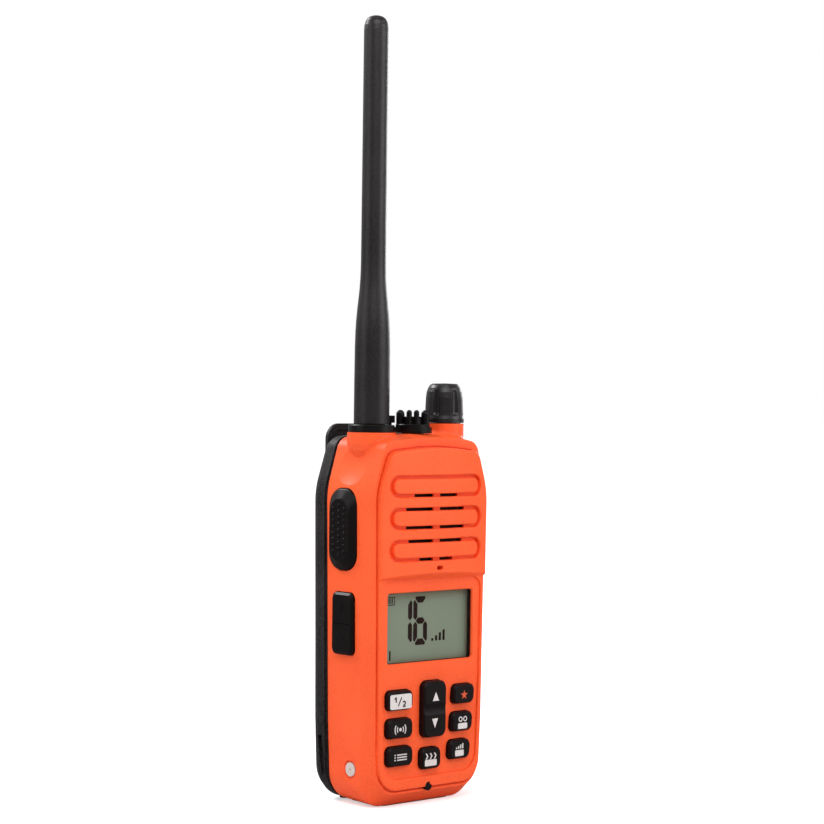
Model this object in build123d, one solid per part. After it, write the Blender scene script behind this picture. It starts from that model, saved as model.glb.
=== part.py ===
from build123d import *
import math
import os

os.makedirs("parts", exist_ok=True)

# Handheld marine radio, millimetres, +Z up, display facing -Y, talk bar on the -X side.
# Depths (Y) are measured from the flat keypad face and moved to the row origin on export.

# ---------------------------------------------------------------- overall layout
ORIGIN_Y = 16.0            # depth of the row origin behind the keypad face
KEYPAD_FACE_Y = 0.0
FRAME_RIM_Y = -0.8         # low rim around display and keypad
PLATEAU_Y = -4.3           # highest line of the grille plateau
CROWN_RADIUS = 150.0       # side-to-side crown of the plateau
CROWN_MIDDLE_Z = 70.0
CROWN_LENGTH = 200.0
GROOVE_FACE_Y = 0.35
GROOVE_FLOOR_Y = 1.1
RIDGE_Y = 7.1              # where the front bevel meets the sides
SEAM_Y = 26.6              # back edge of the orange housing
PACK_FRONT_Y = 26.85
PACK_MID_Y = 31.8          # start of the rounded back of the pack
PACK_SOFT_Y = 34.6
PACK_BACK_Y = 36.2
WALL_BACK_Y = 2.6          # inner face of the front wall
CUT_BACK_Y = 4.0           # openings in the front wall are cut to here
FAR = 60.0                 # reach of cutting tools
OVER = 1.0                 # how far a cut runs past the face that it starts from
NEAR = 0.01                # width of a band that picks out the edges of one plane
ON_SURFACE = 0.03          # how close an edge stays to the surface that it lies on
EDGE_SHARES = (0.0, 0.25, 0.5, 0.75, 1.0)
REACH_SHARE = 0.46         # the most of a side that one rounded corner takes
TOP_EDGE_RADIUS = 120.0    # slight crown of the top edge

# Half outlines: (x, z, corner radius) from bottom to top; the last point lies on the centre line.
BODY = [(26.8, 0.15, 9.0), (28.2, 32.0, 60.0), (29.6, 118.0, 30.0), (23.4, 137.5, 6.0)]
BODY_TOP_Z = 139.8
BODY_BACK = [(26.1, 0.15, 12.0), (27.6, 32.0, 60.0), (29.3, 118.0, 30.0), (23.4, 137.5, 6.0)]
RIM = [(25.2, 5.2, 9.0), (26.7, 32.0, 60.0), (28.4, 118.0, 30.0), (23.3, 136.4, 5.2)]
RIM_TOP_Z = 138.2
GROOVE = [(25.65, 6.1, 9.2), (26.75, 32.0, 60.0), (27.85, 118.0, 29.6), (22.45, 133.3, 5.2)]
GROOVE_TOP_Z = 135.4
PLATEAU = [(25.0, 6.8, 8.6), (26.1, 32.0, 60.0), (27.2, 118.0, 29.0), (21.8, 132.7, 4.6)]
PLATEAU_TOP_Z = 134.7
RECESS = [(23.3, 10.9, 7.0), (24.9, 50.0, 60.0), (25.3, 84.8, 4.5)]
RECESS_TOP_Z = 84.9
RECESS_ROUND_TOP_Z = 84.0
CAVITY = [(24.4, 3.4, 10.6), (25.7, 32.0, 60.0), (27.0, 118.0, 27.6), (21.6, 134.4, 4.0)]
CAVITY_TOP_Z = 136.2
FRONT_CAVITY = [(23.6, 7.6, 7.5), (24.9, 32.0, 60.0), (26.0, 118.0, 27.6), (20.8, 132.8, 4.0)]
FRONT_CAVITY_TOP_Z = 134.8
CHASSIS = [(24.2, 3.6, 10.4), (25.5, 32.0, 60.0), (26.8, 118.0, 27.4), (21.4, 134.2, 3.8)]
CHASSIS_TOP_Z = 136.0
GASKET_IN = [(22.4, 5.4, 8.8), (23.7, 32.0, 60.0), (25.0, 118.0, 25.6), (19.8, 132.4, 2.6)]
GASKET_TOP_Z = 134.2
PACK = [(27.1, 0.6, 13.0), (28.4, 32.0, 60.0), (29.7, 118.0, 30.0), (23.5, 137.6, 6.0)]
PACK_TOP_Z = 139.7
PACK_REBATE = [(26.5, 1.2, 12.4), (27.8, 32.0, 60.0), (29.1, 118.0, 29.4), (22.9, 137.0, 5.4)]
PACK_REBATE_TOP_Z = 139.1
PACK_REBATE_Y = 27.8       # shadow gap between the pack and the housing
PACK_SOFT = [(26.0, 2.2, 11.9), (27.3, 32.0, 60.0), (28.6, 118.0, 29.0), (22.5, 136.4, 5.2)]
PACK_SOFT_TOP_Z = 138.4
PACK_REAR = [(23.4, 4.6, 9.6), (24.7, 32.0, 60.0), (26.0, 118.0, 27.0), (20.4, 133.8, 4.0)]
PACK_REAR_TOP_Z = 135.6

# Low flat pad under the housing, which the radio stands on, and two studs under the pack
BASE_PAD = (29.0, 15.0)
BASE_PAD_TOP_Z = 1.0
PACK_FOOT = (16.2, 29.6)
PACK_FOOT_R = 1.9
PACK_FOOT_Z = (0.3, 2.2)   # the pack hangs just clear of the floor

# ---------------------------------------------------------------- front face
STEP_TOP_Z = 87.2          # foot of the plateau above the display
STEP_LOW_Z = 85.2
GRILLE_Z = (119.8, 107.85, 95.95)
BAR_HALF = 21.5
BAR_HEIGHT = 5.6
CHANNEL_HALF = 23.2
CHANNEL_HEIGHT = 8.1
CHANNEL_DEPTH = 1.8
SLOT_HEIGHT = 1.2
SLOT_GAP = 3.3             # bridge left in the middle of every slot
SLOTS = ((119.8, -1, 11.0), (107.85, 1, 14.8), (107.85, -1, 14.8), (95.95, 1, 13.6), (95.95, -1, 8.4))
GRILLE_WALL = 0.9          # skin left behind the channels, so that the slots are short
MIC_HOLE = (0.4, 89.2, 3.2, 1.6)
DISPLAY_Z = (53.4, 80.5)
DISPLAY_HALF = 22.0
DISPLAY_CHAMFER = 0.4
DISPLAY_CORNER = 1.1
PORT_XZ = (-0.9, 7.0)
PORT_R = 1.7
PORT_TAIL = (0.6, 8.3, 0.9)

# Radii of the soft moulded edges
BAR_EDGE_R = 0.7
CHANNEL_LIP_R = 0.6
PLATEAU_EDGE_R = 0.9
RIDGE_R = 2.6
RIM_EDGE_R = 0.4
FRAME_EDGE_R = 0.5
RECESS_EDGE_R = 0.35
BOSS_ROOT_R = 2.0
NECK_ROOT_R = 0.6
PACK_EDGE_R = 1.2
CLIP_EDGE_R = 0.7

# ---------------------------------------------------------------- top and shoulder
ANTENNA_XY = (-18.65, 14.0)
NECK_R = 9.1
NECK_TOP_Z = 139.6
# Half section of the antenna neck, which grows out of the shoulder like a corbel: (radius, z)
NECK = [(0.0, 126.0), (3.0, 126.0), (6.4, 130.6), (8.2, 133.0), (NECK_R, 135.6), (NECK_R, NECK_TOP_Z),
        (0.0, NECK_TOP_Z)]
SCOOP_CENTRE = (-52.0, 15.5, 134.6)
SCOOP_R = 27.5
KNOB_XY = (18.3, 13.6)
KNOB_BOSS_R = 7.6
KNOB_BOSS_Z = (124.0, 143.1)
CAP_XY = (0.5, 12.0)
JACK_BORE_R = 4.2
CAP_SEAT_R = 7.4
CAP_SEAT_Z = 139.4
ANCHOR_XY = (-10.0, 21.5)
BLOCK_BACK_Y = 22.5
ANTENNA_BLOCK = (-30.0, -8.0, 125.0)
KNOB_BLOCK = (8.5, 30.0, 127.5)

# ---------------------------------------------------------------- sides
PTT_YZ = (17.1, 103.4)
PTT_SIZE = (15.2, 30.4)
PTT_CORNER = 6.4
SIDE_KEY_YZ = (16.7, 68.3)
SIDE_KEY_SIZE = (12.0, 23.0)
SIDE_KEY_CORNER = 2.2
CONTACT_YZ = (13.9, 14.0)
CONTACT_R = 2.6
CONTACT_RECESS_R = 3.4
CONTACT_STEM_R = 1.6
CONTACT_SEAT_X = 26.7
CONTACT_STEM_X = 20.0
BUTTON_GAP = 0.3

# ---------------------------------------------------------------- keypad
KEY_FRONT_Y = -2.3
KEY_BACK_Y = 2.72
KEY_FLANGE_Y = 3.2
KEY_FLANGE = 0.8
KEY_GAP = 0.3
# name: centre x, centre z, width, height, side lean per mm of height, corner radius
KEYS = {
    "key_priority": (-16.6, 40.5, 12.2, 7.2, 0.0, 2.0),
    "key_call": (-16.6, 30.05, 12.2, 7.2, 0.0, 2.0),
    "key_menu": (-16.4, 19.7, 12.2, 7.2, 0.0, 2.0),
    "key_favourite": (15.9, 40.5, 10.4, 7.2, 0.09, 2.0),
    "key_dual_watch": (15.1, 30.05, 10.4, 7.2, 0.09, 2.0),
    "key_power_level": (14.0, 19.6, 10.4, 7.2, 0.09, 2.0),
    "key_scan": (-0.8, 17.6, 9.6, 7.9, 0.0, 2.0),
}
CHANNEL_KEY = (0.4, 36.0, 11.2, 21.0, 0.0, 2.6)
CHANNEL_KEY_FRONT_Y = -2.9
KEY_BEVEL = 0.7
KEY_TOP_INSET = 0.9
ROCKER_EAR_HALF = 2.8      # half height of the side ears that the rocker turns on
ROCKER_WAIST_R = 4.1
ROCKER_WAIST_DEPTH = 0.6


def rounded_wire(corners, top_z, y):
    """Closed outline in the plane at depth y, mirrored about the centre line."""
    points = list(corners)
    points.append((0.0, top_z, TOP_EDGE_RADIUS))
    points += [(-x, z, r) for x, z, r in reversed(corners)]
    return polygon_wire(points, y)


def polygon_wire(points, y):
    """Closed outline through (x, z, radius) corners, each rounded by its own arc."""
    count = len(points)
    arcs = []
    for i, (x, z, r) in enumerate(points):
        before = Vector(points[i - 1][0], points[i - 1][1])
        after = Vector(points[(i + 1) % count][0], points[(i + 1) % count][1])
        corner = Vector(x, z)
        to_before = (before - corner).normalized()
        to_after = (after - corner).normalized()
        half = math.acos(max(-1.0, min(1.0, to_before.dot(to_after)))) / 2
        reach = r / math.tan(half)
        limit = min((before - corner).length, (after - corner).length) * REACH_SHARE
        reach = min(reach, limit)
        radius = reach * math.tan(half)
        middle = (to_before + to_after).normalized()
        centre = corner + middle * (radius / math.sin(half))
        start = corner + to_before * reach
        end = corner + to_after * reach
        arcs.append((start, centre - middle * radius, end))
    edges = []
    for i, (start, mid, end) in enumerate(arcs):
        at = [Vector(p.X, y, p.Y) for p in (start, mid, end)]
        edges.append(ThreePointArc(*at))
        following = arcs[(i + 1) % count][0]
        edges.append(Line(at[2], Vector(following.X, y, following.Y)))
    return Wire([piece.edge() for piece in edges])


def prism(wire_maker, y0, y1):
    """Straight solid between two depths from an outline maker."""
    face = Face(wire_maker(y1))
    return extrude(face, amount=y1 - y0, dir=(0, -1, 0))


def block(corners, top_z, y0, y1):
    """Straight solid with a mirrored rounded outline."""
    return prism(lambda y: rounded_wire(corners, top_z, y), y0, y1)


def taper(low, low_top, y0, high, high_top, y1):
    """Ruled solid from one mirrored outline to another."""
    return loft([Face(rounded_wire(low, low_top, y0)), Face(rounded_wire(high, high_top, y1))], ruled=True)


def pad_outline(x, z, width, height, lean, radius, y):
    """Rounded rectangle outline at one depth; its sides may lean."""
    w = width / 2
    h = height / 2
    shift = lean * h
    points = [
        (x - w - shift, z - h, radius),
        (x + w - shift, z - h, radius),
        (x + w + shift, z + h, radius),
        (x - w + shift, z + h, radius),
    ]
    return polygon_wire(points, y)


def pad(x, z, width, height, lean, radius, y0, y1):
    """Rounded rectangle as a solid between two depths."""
    return prism(lambda y: pad_outline(x, z, width, height, lean, radius, y), y0, y1)


def box(x0, x1, y0, y1, z0, z1):
    """Plain box from its limits."""
    centre = Pos((x0 + x1) / 2, (y0 + y1) / 2, (z0 + z1) / 2)
    return centre * Box(x1 - x0, y1 - y0, z1 - z0)


def post(x, y, z0, z1, r):
    """Upright round solid."""
    return Pos(x, y, (z0 + z1) / 2) * Cylinder(r, z1 - z0)


def rod_y(x, z, y0, y1, r):
    """Round solid along Y."""
    return Pos(x, (y0 + y1) / 2, z) * Rot(90, 0, 0) * Cylinder(r, y1 - y0)


def rod_x(y, z, x0, x1, r):
    """Round solid along X."""
    return Pos((x0 + x1) / 2, y, z) * Rot(0, 90, 0) * Cylinder(r, x1 - x0)


def turned(profile, x, y):
    """Solid turned about an upright axis from (radius, z) points."""
    face = make_face(Polyline([(r, 0, z) for r, z in profile], close=True))
    return Pos(x, y, 0) * revolve(face, Axis.Z)


def edges_at(shape, axis, value):
    """Edges that lie in the plane across an axis at one value."""
    return shape.edges().filter_by_position(axis, value - NEAR, value + NEAR)


def edges_on_post(shape, x, y, radius, z0, z1):
    """Edges that lie on an upright round surface between two heights."""
    found = []
    for edge in shape.edges():
        points = [edge.position_at(share) for share in EDGE_SHARES]
        offsets = [abs(math.hypot(point.X - x, point.Y - y) - radius) for point in points]
        if all(z0 < point.Z < z1 for point in points) and max(offsets) < ON_SURFACE:
            found.append(edge)
    return found


def side_face(y, z, width, height, radius, x):
    """Flat rounded rectangle facing sideways at one X."""
    plane = Plane(origin=(x, y, z), x_dir=(0, 1, 0), z_dir=(1, 0, 0))
    return (plane * RectangleRounded(width, height, radius)).face()


def side_pad(y, z, depth, height, radius, x0, x1):
    """Rounded rectangle on the side wall, as a solid between two X values."""
    return extrude(side_face(y, z, depth, height, radius, x1), amount=x0 - x1)


def export(name, shape):
    """Write one sub-part in the row frame."""
    export_step(Pos(0, -ORIGIN_Y, 0) * shape, f"parts/{name}.step")


# ================================================================ main housing
# Screw posts inside the housing: (x, z)
POSTS = ((-22.6, 87.0), (22.6, 87.0), (-17.0, 8.2), (17.0, 8.2))
POST_R = 2.4
POST_HOLE_R = 1.0
POST_FOOT_Y = 2.2
POST_HOLE_START_Y = 4.6
POST_BACK_Y = 22.6
SPEAKER_Z = 107.85
SPEAKER_POCKET_R = 17.4
SOCKET_BORE_R = 4.0
VOLUME_BORE_R = 3.5
ANCHOR_BORE_R = 1.3
ANCHOR_BORE_Z = 134.5
BORE_LOW_Z = 116.0
JACK_BORE_LOW_Z = 130.0
BORE_TOP_Z = 150.0
LATCH_NOTCH = (-4.6, 4.6, 5.4, 11.8)
CUT_FRONT_Y = -12.0        # well in front of the highest line
STEP_SLOPE = 0.575         # rise of the step above the display for each millimetre forward
BUTTON_WELL_X = -24.0
STEM_CLEARANCE = 0.05
PAD_MARGIN = 0.1
FULL_ROUND = 0.01          # taken off half the height where an end is a full round
BELOW_Z = -5.0             # under the whole radio


def crown(offset):
    """Everything behind the crowned plateau surface, set back by an offset."""
    return Pos(0, PLATEAU_Y + CROWN_RADIUS, CROWN_MIDDLE_Z) * Cylinder(CROWN_RADIUS - offset, CROWN_LENGTH)


def on_crown(edge):
    """True for an edge that lies all along the crowned surface."""
    for share in EDGE_SHARES:
        point = edge.position_at(share)
        radius = math.hypot(point.X, point.Y - PLATEAU_Y - CROWN_RADIUS)
        if abs(radius - CROWN_RADIUS) > ON_SURFACE:
            return False
    return True


def inside_pad(edge, z, half_width, height):
    """True for an edge within a level pad outline of the grille."""
    for share in EDGE_SHARES:
        point = edge.position_at(share)
        if abs(point.Z - z) > height / 2 + PAD_MARGIN or abs(point.X) > half_width + PAD_MARGIN:
            return False
    return True


def in_recess(edge):
    """True for an edge of the sunk field around display and keypad, below its top corners."""
    x = RECESS[2][0] + NEAR
    low = RECESS[0][1] - NEAR
    points = [edge.position_at(share) for share in EDGE_SHARES]
    return edge.center().Z < RECESS_ROUND_TOP_Z and all(abs(p.X) < x and p.Z > low for p in points)


def soften_plateau(solid):
    """Round the bars, the lips of their channels, and the plateau's own edge."""
    for z in GRILLE_Z:
        bar = [e for e in solid.edges() if on_crown(e) and inside_pad(e, z, BAR_HALF, BAR_HEIGHT)]
        solid = fillet(bar, BAR_EDGE_R)
        lip = [
            e
            for e in solid.edges()
            if on_crown(e)
            and inside_pad(e, z, CHANNEL_HALF, CHANNEL_HEIGHT)
            and not inside_pad(e, z, BAR_HALF, BAR_HEIGHT)
        ]
        solid = fillet(lip, CHANNEL_LIP_R)
    around = []
    for edge in solid.edges():
        in_grille = any(inside_pad(edge, z, CHANNEL_HALF + OVER, CHANNEL_HEIGHT + 2 * OVER) for z in GRILLE_Z)
        if on_crown(edge) and not in_grille:
            around.append(edge)
    solid = fillet(around, PLATEAU_EDGE_R)
    frame = [e for e in edges_at(solid, Axis.Y, FRAME_RIM_Y) if e.center().Z < STEP_LOW_Z - OVER]
    return fillet(frame, FRAME_EDGE_R)


def plateau():
    """Raised front: crowned grille field above, low rim around display and keypad below."""
    solid = block(PLATEAU, PLATEAU_TOP_Z, PLATEAU_Y, GROOVE_FLOOR_Y + 1.0) & crown(0.0)
    front = CUT_FRONT_Y
    profile = Polyline(
        [
            (0, front, STEP_TOP_Z + (PLATEAU_Y - front) * STEP_SLOPE),
            (0, PLATEAU_Y, STEP_TOP_Z),
            (0, FRAME_RIM_Y, STEP_LOW_Z),
            (0, FRAME_RIM_Y, BELOW_Z),
            (0, front, BELOW_Z),
        ],
        close=True,
    )
    lowered = Pos(-FAR / 2, 0, 0) * extrude(make_face(profile), amount=FAR, dir=(1, 0, 0))
    solid -= lowered
    for z in GRILLE_Z:
        outer = pad(0, z, 2 * CHANNEL_HALF, CHANNEL_HEIGHT, 0, CHANNEL_HEIGHT / 2 - FULL_ROUND, CUT_FRONT_Y,
                    CUT_BACK_Y)
        bar = pad(0, z, 2 * BAR_HALF, BAR_HEIGHT, 0, BAR_HEIGHT / 2 - FULL_ROUND, CUT_FRONT_Y, CUT_BACK_Y)
        solid -= (outer - bar) - crown(CHANNEL_DEPTH)
    return soften_plateau(solid)


def sound_slots():
    """Slots through the channel floors, with a bridge left in the middle of each."""
    cuts = []
    for z, side, half in SLOTS:
        near, far = sorted((z + side * BAR_HEIGHT / 2, z + side * (BAR_HEIGHT / 2 + SLOT_HEIGHT)))
        for hand in (-1, 1):
            low, high = sorted((hand * SLOT_GAP / 2, hand * half))
            cuts.append(box(low, high, CUT_FRONT_Y, WALL_BACK_Y, near, far))
    return cuts


def display_cut():
    """Window opening with a chamfered edge."""
    z0, z1 = DISPLAY_Z
    middle = (z0 + z1) / 2
    edge = DISPLAY_CHAMFER
    width = 2 * (DISPLAY_HALF - edge)
    height = z1 - z0 - 2 * edge
    wide = Face(pad_outline(0, middle, width + 2 * edge, height + 2 * edge, 0, DISPLAY_CORNER, KEYPAD_FACE_Y))
    narrow = Face(pad_outline(0, middle, width, height, 0, DISPLAY_CORNER, KEYPAD_FACE_Y + edge))
    through = pad(0, middle, width, height, 0, DISPLAY_CORNER, KEYPAD_FACE_Y, CUT_BACK_Y)
    return loft([wide, narrow], ruled=True) + through


def outer_shell():
    """Outside form: sides, bevelled front, dished shoulder, antenna neck, knob boss and plateau."""
    shell = taper(BODY, BODY_TOP_Z, RIDGE_Y, BODY_BACK, BODY_TOP_Z, SEAM_Y)
    shell += taper(RIM, RIM_TOP_Z, GROOVE_FACE_Y, BODY, BODY_TOP_Z, RIDGE_Y)
    shell = fillet(edges_at(shell, Axis.Y, RIDGE_Y), RIDGE_R)
    shell = fillet(edges_at(shell, Axis.Y, GROOVE_FACE_Y), RIM_EDGE_R)
    shell -= Pos(*SCOOP_CENTRE) * Sphere(SCOOP_R)
    shell += turned(NECK, *ANTENNA_XY)
    shell += post(*KNOB_XY, *KNOB_BOSS_Z, KNOB_BOSS_R)
    root = edges_on_post(shell, *KNOB_XY, KNOB_BOSS_R, BORE_LOW_Z, KNOB_BOSS_Z[1] - OVER)
    shell = fillet(root, BOSS_ROOT_R)
    root = edges_on_post(shell, *ANTENNA_XY, NECK_R, NECK[4][1] + NEAR, NECK_TOP_Z - NEAR)
    shell = fillet(root, NECK_ROOT_R)
    w, d = BASE_PAD
    shell += box(-w / 2, w / 2, ORIGIN_Y - d / 2, ORIGIN_Y + d / 2, 0.0, BASE_PAD_TOP_Z)
    shell -= block(GROOVE, GROOVE_TOP_Z, -FAR, GROOVE_FLOOR_Y)
    front = plateau() - block(RECESS, RECESS_TOP_Z, -FAR, KEYPAD_FACE_Y)
    rim = [edge for edge in edges_at(front, Axis.Y, FRAME_RIM_Y) if in_recess(edge)]
    return shell + fillet(rim, RECESS_EDGE_R) - block(RECESS, RECESS_TOP_Z, -FAR, KEYPAD_FACE_Y)


def housing_room():
    """Room inside the housing, with the top left thick around the antenna socket."""
    room = block(CAVITY, CAVITY_TOP_Z, RIDGE_Y, FAR)
    room += block(FRONT_CAVITY, FRONT_CAVITY_TOP_Z, WALL_BACK_Y, RIDGE_Y + 1.0)
    left, right, low = ANTENNA_BLOCK
    room -= box(left, right, 0, BLOCK_BACK_Y, low, BORE_TOP_Z)
    left, right, low = KNOB_BLOCK
    return room - box(left, right, 0, RIDGE_Y, low, BORE_TOP_Z)


def side_openings():
    """Wells of the talk bar and side rocker, and seats of the water contacts."""
    gap = 2 * BUTTON_GAP
    y, z = PTT_YZ
    w, h = PTT_SIZE
    cuts = [side_pad(y, z, w + gap, h + gap, PTT_CORNER + BUTTON_GAP, -FAR, BUTTON_WELL_X)]
    y, z = SIDE_KEY_YZ
    w, h = SIDE_KEY_SIZE
    cuts.append(side_pad(y, z, w + gap, h + gap, SIDE_KEY_CORNER + BUTTON_GAP, -FAR, BUTTON_WELL_X))
    for hand in (-1, 1):
        low, high = sorted((hand * CONTACT_SEAT_X, hand * FAR))
        cuts.append(rod_x(*CONTACT_YZ, low, high, CONTACT_RECESS_R))
        low, high = sorted((hand * CONTACT_STEM_X, hand * FAR))
        cuts.append(rod_x(*CONTACT_YZ, low, high, CONTACT_STEM_R + STEM_CLEARANCE))
    return cuts


def front_openings():
    """Sound slots, microphone hole, window, key openings and the bottom port."""
    cuts = sound_slots()
    x, z, width, height = MIC_HOLE
    cuts.append(pad(x, z, width, height, 0, height / 2 - FULL_ROUND, CUT_FRONT_Y, CUT_BACK_Y))
    cuts.append(display_cut())
    gap = 2 * KEY_GAP
    for x, z, width, height, lean, radius in list(KEYS.values()) + [CHANNEL_KEY]:
        cuts.append(pad(x, z, width + gap, height + gap, lean, radius + KEY_GAP, CUT_FRONT_Y, CUT_BACK_Y))
    cuts.append(rod_y(*PORT_XZ, CUT_FRONT_Y, CUT_BACK_Y, PORT_R))
    cuts.append(rod_y(*PORT_XZ, WALL_BACK_Y, RIDGE_Y, VENT_R + 0.1))
    x, z, radius = PORT_TAIL
    cuts.append(rod_y(x, z, CUT_FRONT_Y, GROOVE_FLOOR_Y, radius))
    return cuts


def front_housing():
    """Orange shell: front, sides, top, antenna neck and knob boss in one moulding."""
    shell = outer_shell() - housing_room()
    for x, z in POSTS:
        shell += rod_y(x, z, POST_FOOT_Y, POST_BACK_Y, POST_R)
        shell -= rod_y(x, z, POST_HOLE_START_Y, POST_BACK_Y + 1.0, POST_HOLE_R)
    pocket = rod_y(0, SPEAKER_Z, CUT_FRONT_Y, WALL_BACK_Y + 0.5, SPEAKER_POCKET_R)
    shell -= pocket & crown(CHANNEL_DEPTH + GRILLE_WALL)
    for cut in front_openings() + side_openings():
        shell -= cut
    shell -= post(*ANTENNA_XY, BORE_LOW_Z, BORE_TOP_Z, SOCKET_BORE_R)
    shell -= post(*KNOB_XY, BORE_LOW_Z, BORE_TOP_Z, VOLUME_BORE_R)
    shell -= post(*CAP_XY, JACK_BORE_LOW_Z, BORE_TOP_Z, JACK_BORE_R)
    shell -= post(*CAP_XY, CAP_SEAT_Z, BORE_TOP_Z, CAP_SEAT_R) - post(*KNOB_XY, *KNOB_BOSS_Z, KNOB_BOSS_R)
    return shell - post(*ANCHOR_XY, ANCHOR_BORE_Z, BORE_TOP_Z, ANCHOR_BORE_R)


# ================================================================ rear of the main unit
CHASSIS_Y = (23.6, 26.6)
SCREW_HEAD_R = 1.9
SCREW_HEAD_Y = (25.1, 26.3)
SCREW_SHANK_R = 0.93
SCREW_TIP_Y = 14.0
SCREW_HEAD_GAP = 0.3
SCREW_SLOT = (1.3, 0.5, 0.25)
GASKET_Y = (22.7, 23.55)
NOTCH_FLOOR = 1.0
CONTACT_WINDOW = (-12.0, 12.0, 22.0, 30.0)
PIN_X = (-8.0, 0.0, 8.0)
PIN_Z = 26.0
PIN_R = 0.8
PIN_START = 0.4            # from the block's face inwards
PIN_END = 0.15             # and outwards
CONTACT_BLOCK_GAP = 0.15
CONTACT_BLOCK_SINK = 0.2


def rear_chassis():
    """Back plate of the main unit, with screw seats, contact window and latch notch."""
    y0, y1 = CHASSIS_Y
    plate = block(CHASSIS, CHASSIS_TOP_Z, y0, y1)
    for x, z in POSTS:
        plate -= rod_y(x, z, y0 - OVER, y1 + OVER, POST_HOLE_R)
        plate -= rod_y(x, z, SCREW_HEAD_Y[0], y1 + OVER, SCREW_HEAD_R + SCREW_HEAD_GAP)
    x0, x1, z0, z1 = CONTACT_WINDOW
    plate -= box(x0, x1, y0 - OVER, y1 + OVER, z0, z1)
    x0, x1, z0, z1 = LATCH_NOTCH
    return plate - box(x0, x1, y0 + NOTCH_FLOOR, y1 + OVER, z0, z1)


def chassis_gasket():
    """Flat seal between the housing and the back plate."""
    y0, y1 = GASKET_Y
    return block(CHASSIS, CHASSIS_TOP_Z, y0, y1) - block(GASKET_IN, GASKET_TOP_Z, y0 - OVER, y1 + OVER)


def chassis_screws():
    """Four screws that hold the back plate."""
    y0, y1 = SCREW_HEAD_Y
    half_length, depth, half_width = SCREW_SLOT
    screws = []
    for x, z in POSTS:
        screw = rod_y(x, z, y0, y1, SCREW_HEAD_R) + rod_y(x, z, SCREW_TIP_Y, y0, SCREW_SHANK_R)
        slot = box(x - half_length, x + half_length, y1 - depth, y1 + OVER, z - half_width, z + half_width)
        screws.append(screw - slot)
    return Compound(screws)


def battery_contacts():
    """Insulating block with three spring pins that meet the pack."""
    x0, x1, z0, z1 = CONTACT_WINDOW
    gap = CONTACT_BLOCK_GAP
    y0, y1 = CHASSIS_Y
    contacts = box(x0 + gap, x1 - gap, y0, y1 - CONTACT_BLOCK_SINK, z0 + gap, z1 - gap)
    for x in PIN_X:
        contacts += rod_y(x, PIN_Z, y1 - PIN_START, y1 + PIN_END, PIN_R)
    return contacts


# ================================================================ display and keypad inside
WINDOW_FRONT_Y = 1.2
WINDOW_GAP = 0.15
WINDOW_CORNER = 0.9
# Flat layers behind the front wall: width, height, corner radius, front and back depth
WINDOW_FLANGE = (47.2, 29.4, 1.2, 2.7, 3.2)
PANEL = (46.0, 28.8, 0.6, 3.3, 5.6)
DISPLAY_FRAME = (48.4, 30.4, 1.0, 5.7, 8.2)
MAT = (46.0, 38.2, 5.0, 3.9, 4.9)
KEY_BOARD = (45.0, 37.2, 4.0, 5.0, 6.2)
MAT_CENTRE_Z = 30.8
BOARD_POST_GAP = 0.5
BOARD = (-23.8, 23.8, 8.4, 10.0, 12.0, 117.5)


def display_middle():
    """Height of the middle of the display."""
    return (DISPLAY_Z[0] + DISPLAY_Z[1]) / 2


def layer(z, spec):
    """Flat rounded layer on the centre line."""
    width, height, radius, y0, y1 = spec
    return pad(0, z, width, height, 0, radius, y0, y1)


def display_window():
    """Clear lens: a raised face in the opening and a flange behind the wall."""
    z = display_middle()
    inset = DISPLAY_CHAMFER + WINDOW_GAP
    width = 2 * (DISPLAY_HALF - inset)
    height = DISPLAY_Z[1] - DISPLAY_Z[0] - 2 * inset
    lens = pad(0, z, width, height, 0, WINDOW_CORNER, WINDOW_FRONT_Y, WINDOW_FLANGE[3])
    return lens + layer(z, WINDOW_FLANGE)


def display_panel():
    """Liquid crystal panel."""
    return layer(display_middle(), PANEL)


def display_frame():
    """Light guide and holder behind the panel."""
    return layer(display_middle(), DISPLAY_FRAME)


def keypad_mat():
    """Silicone mat behind all keys."""
    return layer(MAT_CENTRE_Z, MAT)


def key_board():
    """Thin board with the key domes."""
    return layer(MAT_CENTRE_Z, KEY_BOARD)


def key_cap(x, z, width, height, lean, radius, front_y):
    """Key body with a bevelled top."""
    bevel = KEY_BEVEL
    inset = KEY_TOP_INSET
    body = pad(x, z, width, height, lean, radius, front_y + bevel, KEY_BACK_Y)
    top = loft(
        [
            Face(pad_outline(x, z, width - inset, height - inset, lean, radius, front_y)),
            Face(pad_outline(x, z, width, height, lean, radius, front_y + bevel)),
        ],
        ruled=True,
    )
    return body + top


def key(x, z, width, height, lean, radius):
    """Key with a flange all round that holds it behind the wall."""
    grow = 2 * KEY_FLANGE
    flange = pad(x, z, width + grow, height + grow, lean, radius, KEY_BACK_Y, KEY_FLANGE_Y)
    return key_cap(x, z, width, height, lean, radius, KEY_FRONT_Y) + flange


def channel_key():
    """Tall rocker key with a shallow waist between its two ends."""
    x, z, width, height, lean, radius = CHANNEL_KEY
    rocker = key_cap(x, z, width, height, lean, radius, CHANNEL_KEY_FRONT_Y)
    reach = width / 2 + KEY_FLANGE
    rocker += box(x - reach, x + reach, KEY_BACK_Y, KEY_FLANGE_Y, z - ROCKER_EAR_HALF, z + ROCKER_EAR_HALF)
    waist_y = CHANNEL_KEY_FRONT_Y + ROCKER_WAIST_DEPTH - ROCKER_WAIST_R
    return rocker - rod_x(waist_y, z, x - reach, x + reach, ROCKER_WAIST_R)


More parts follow.
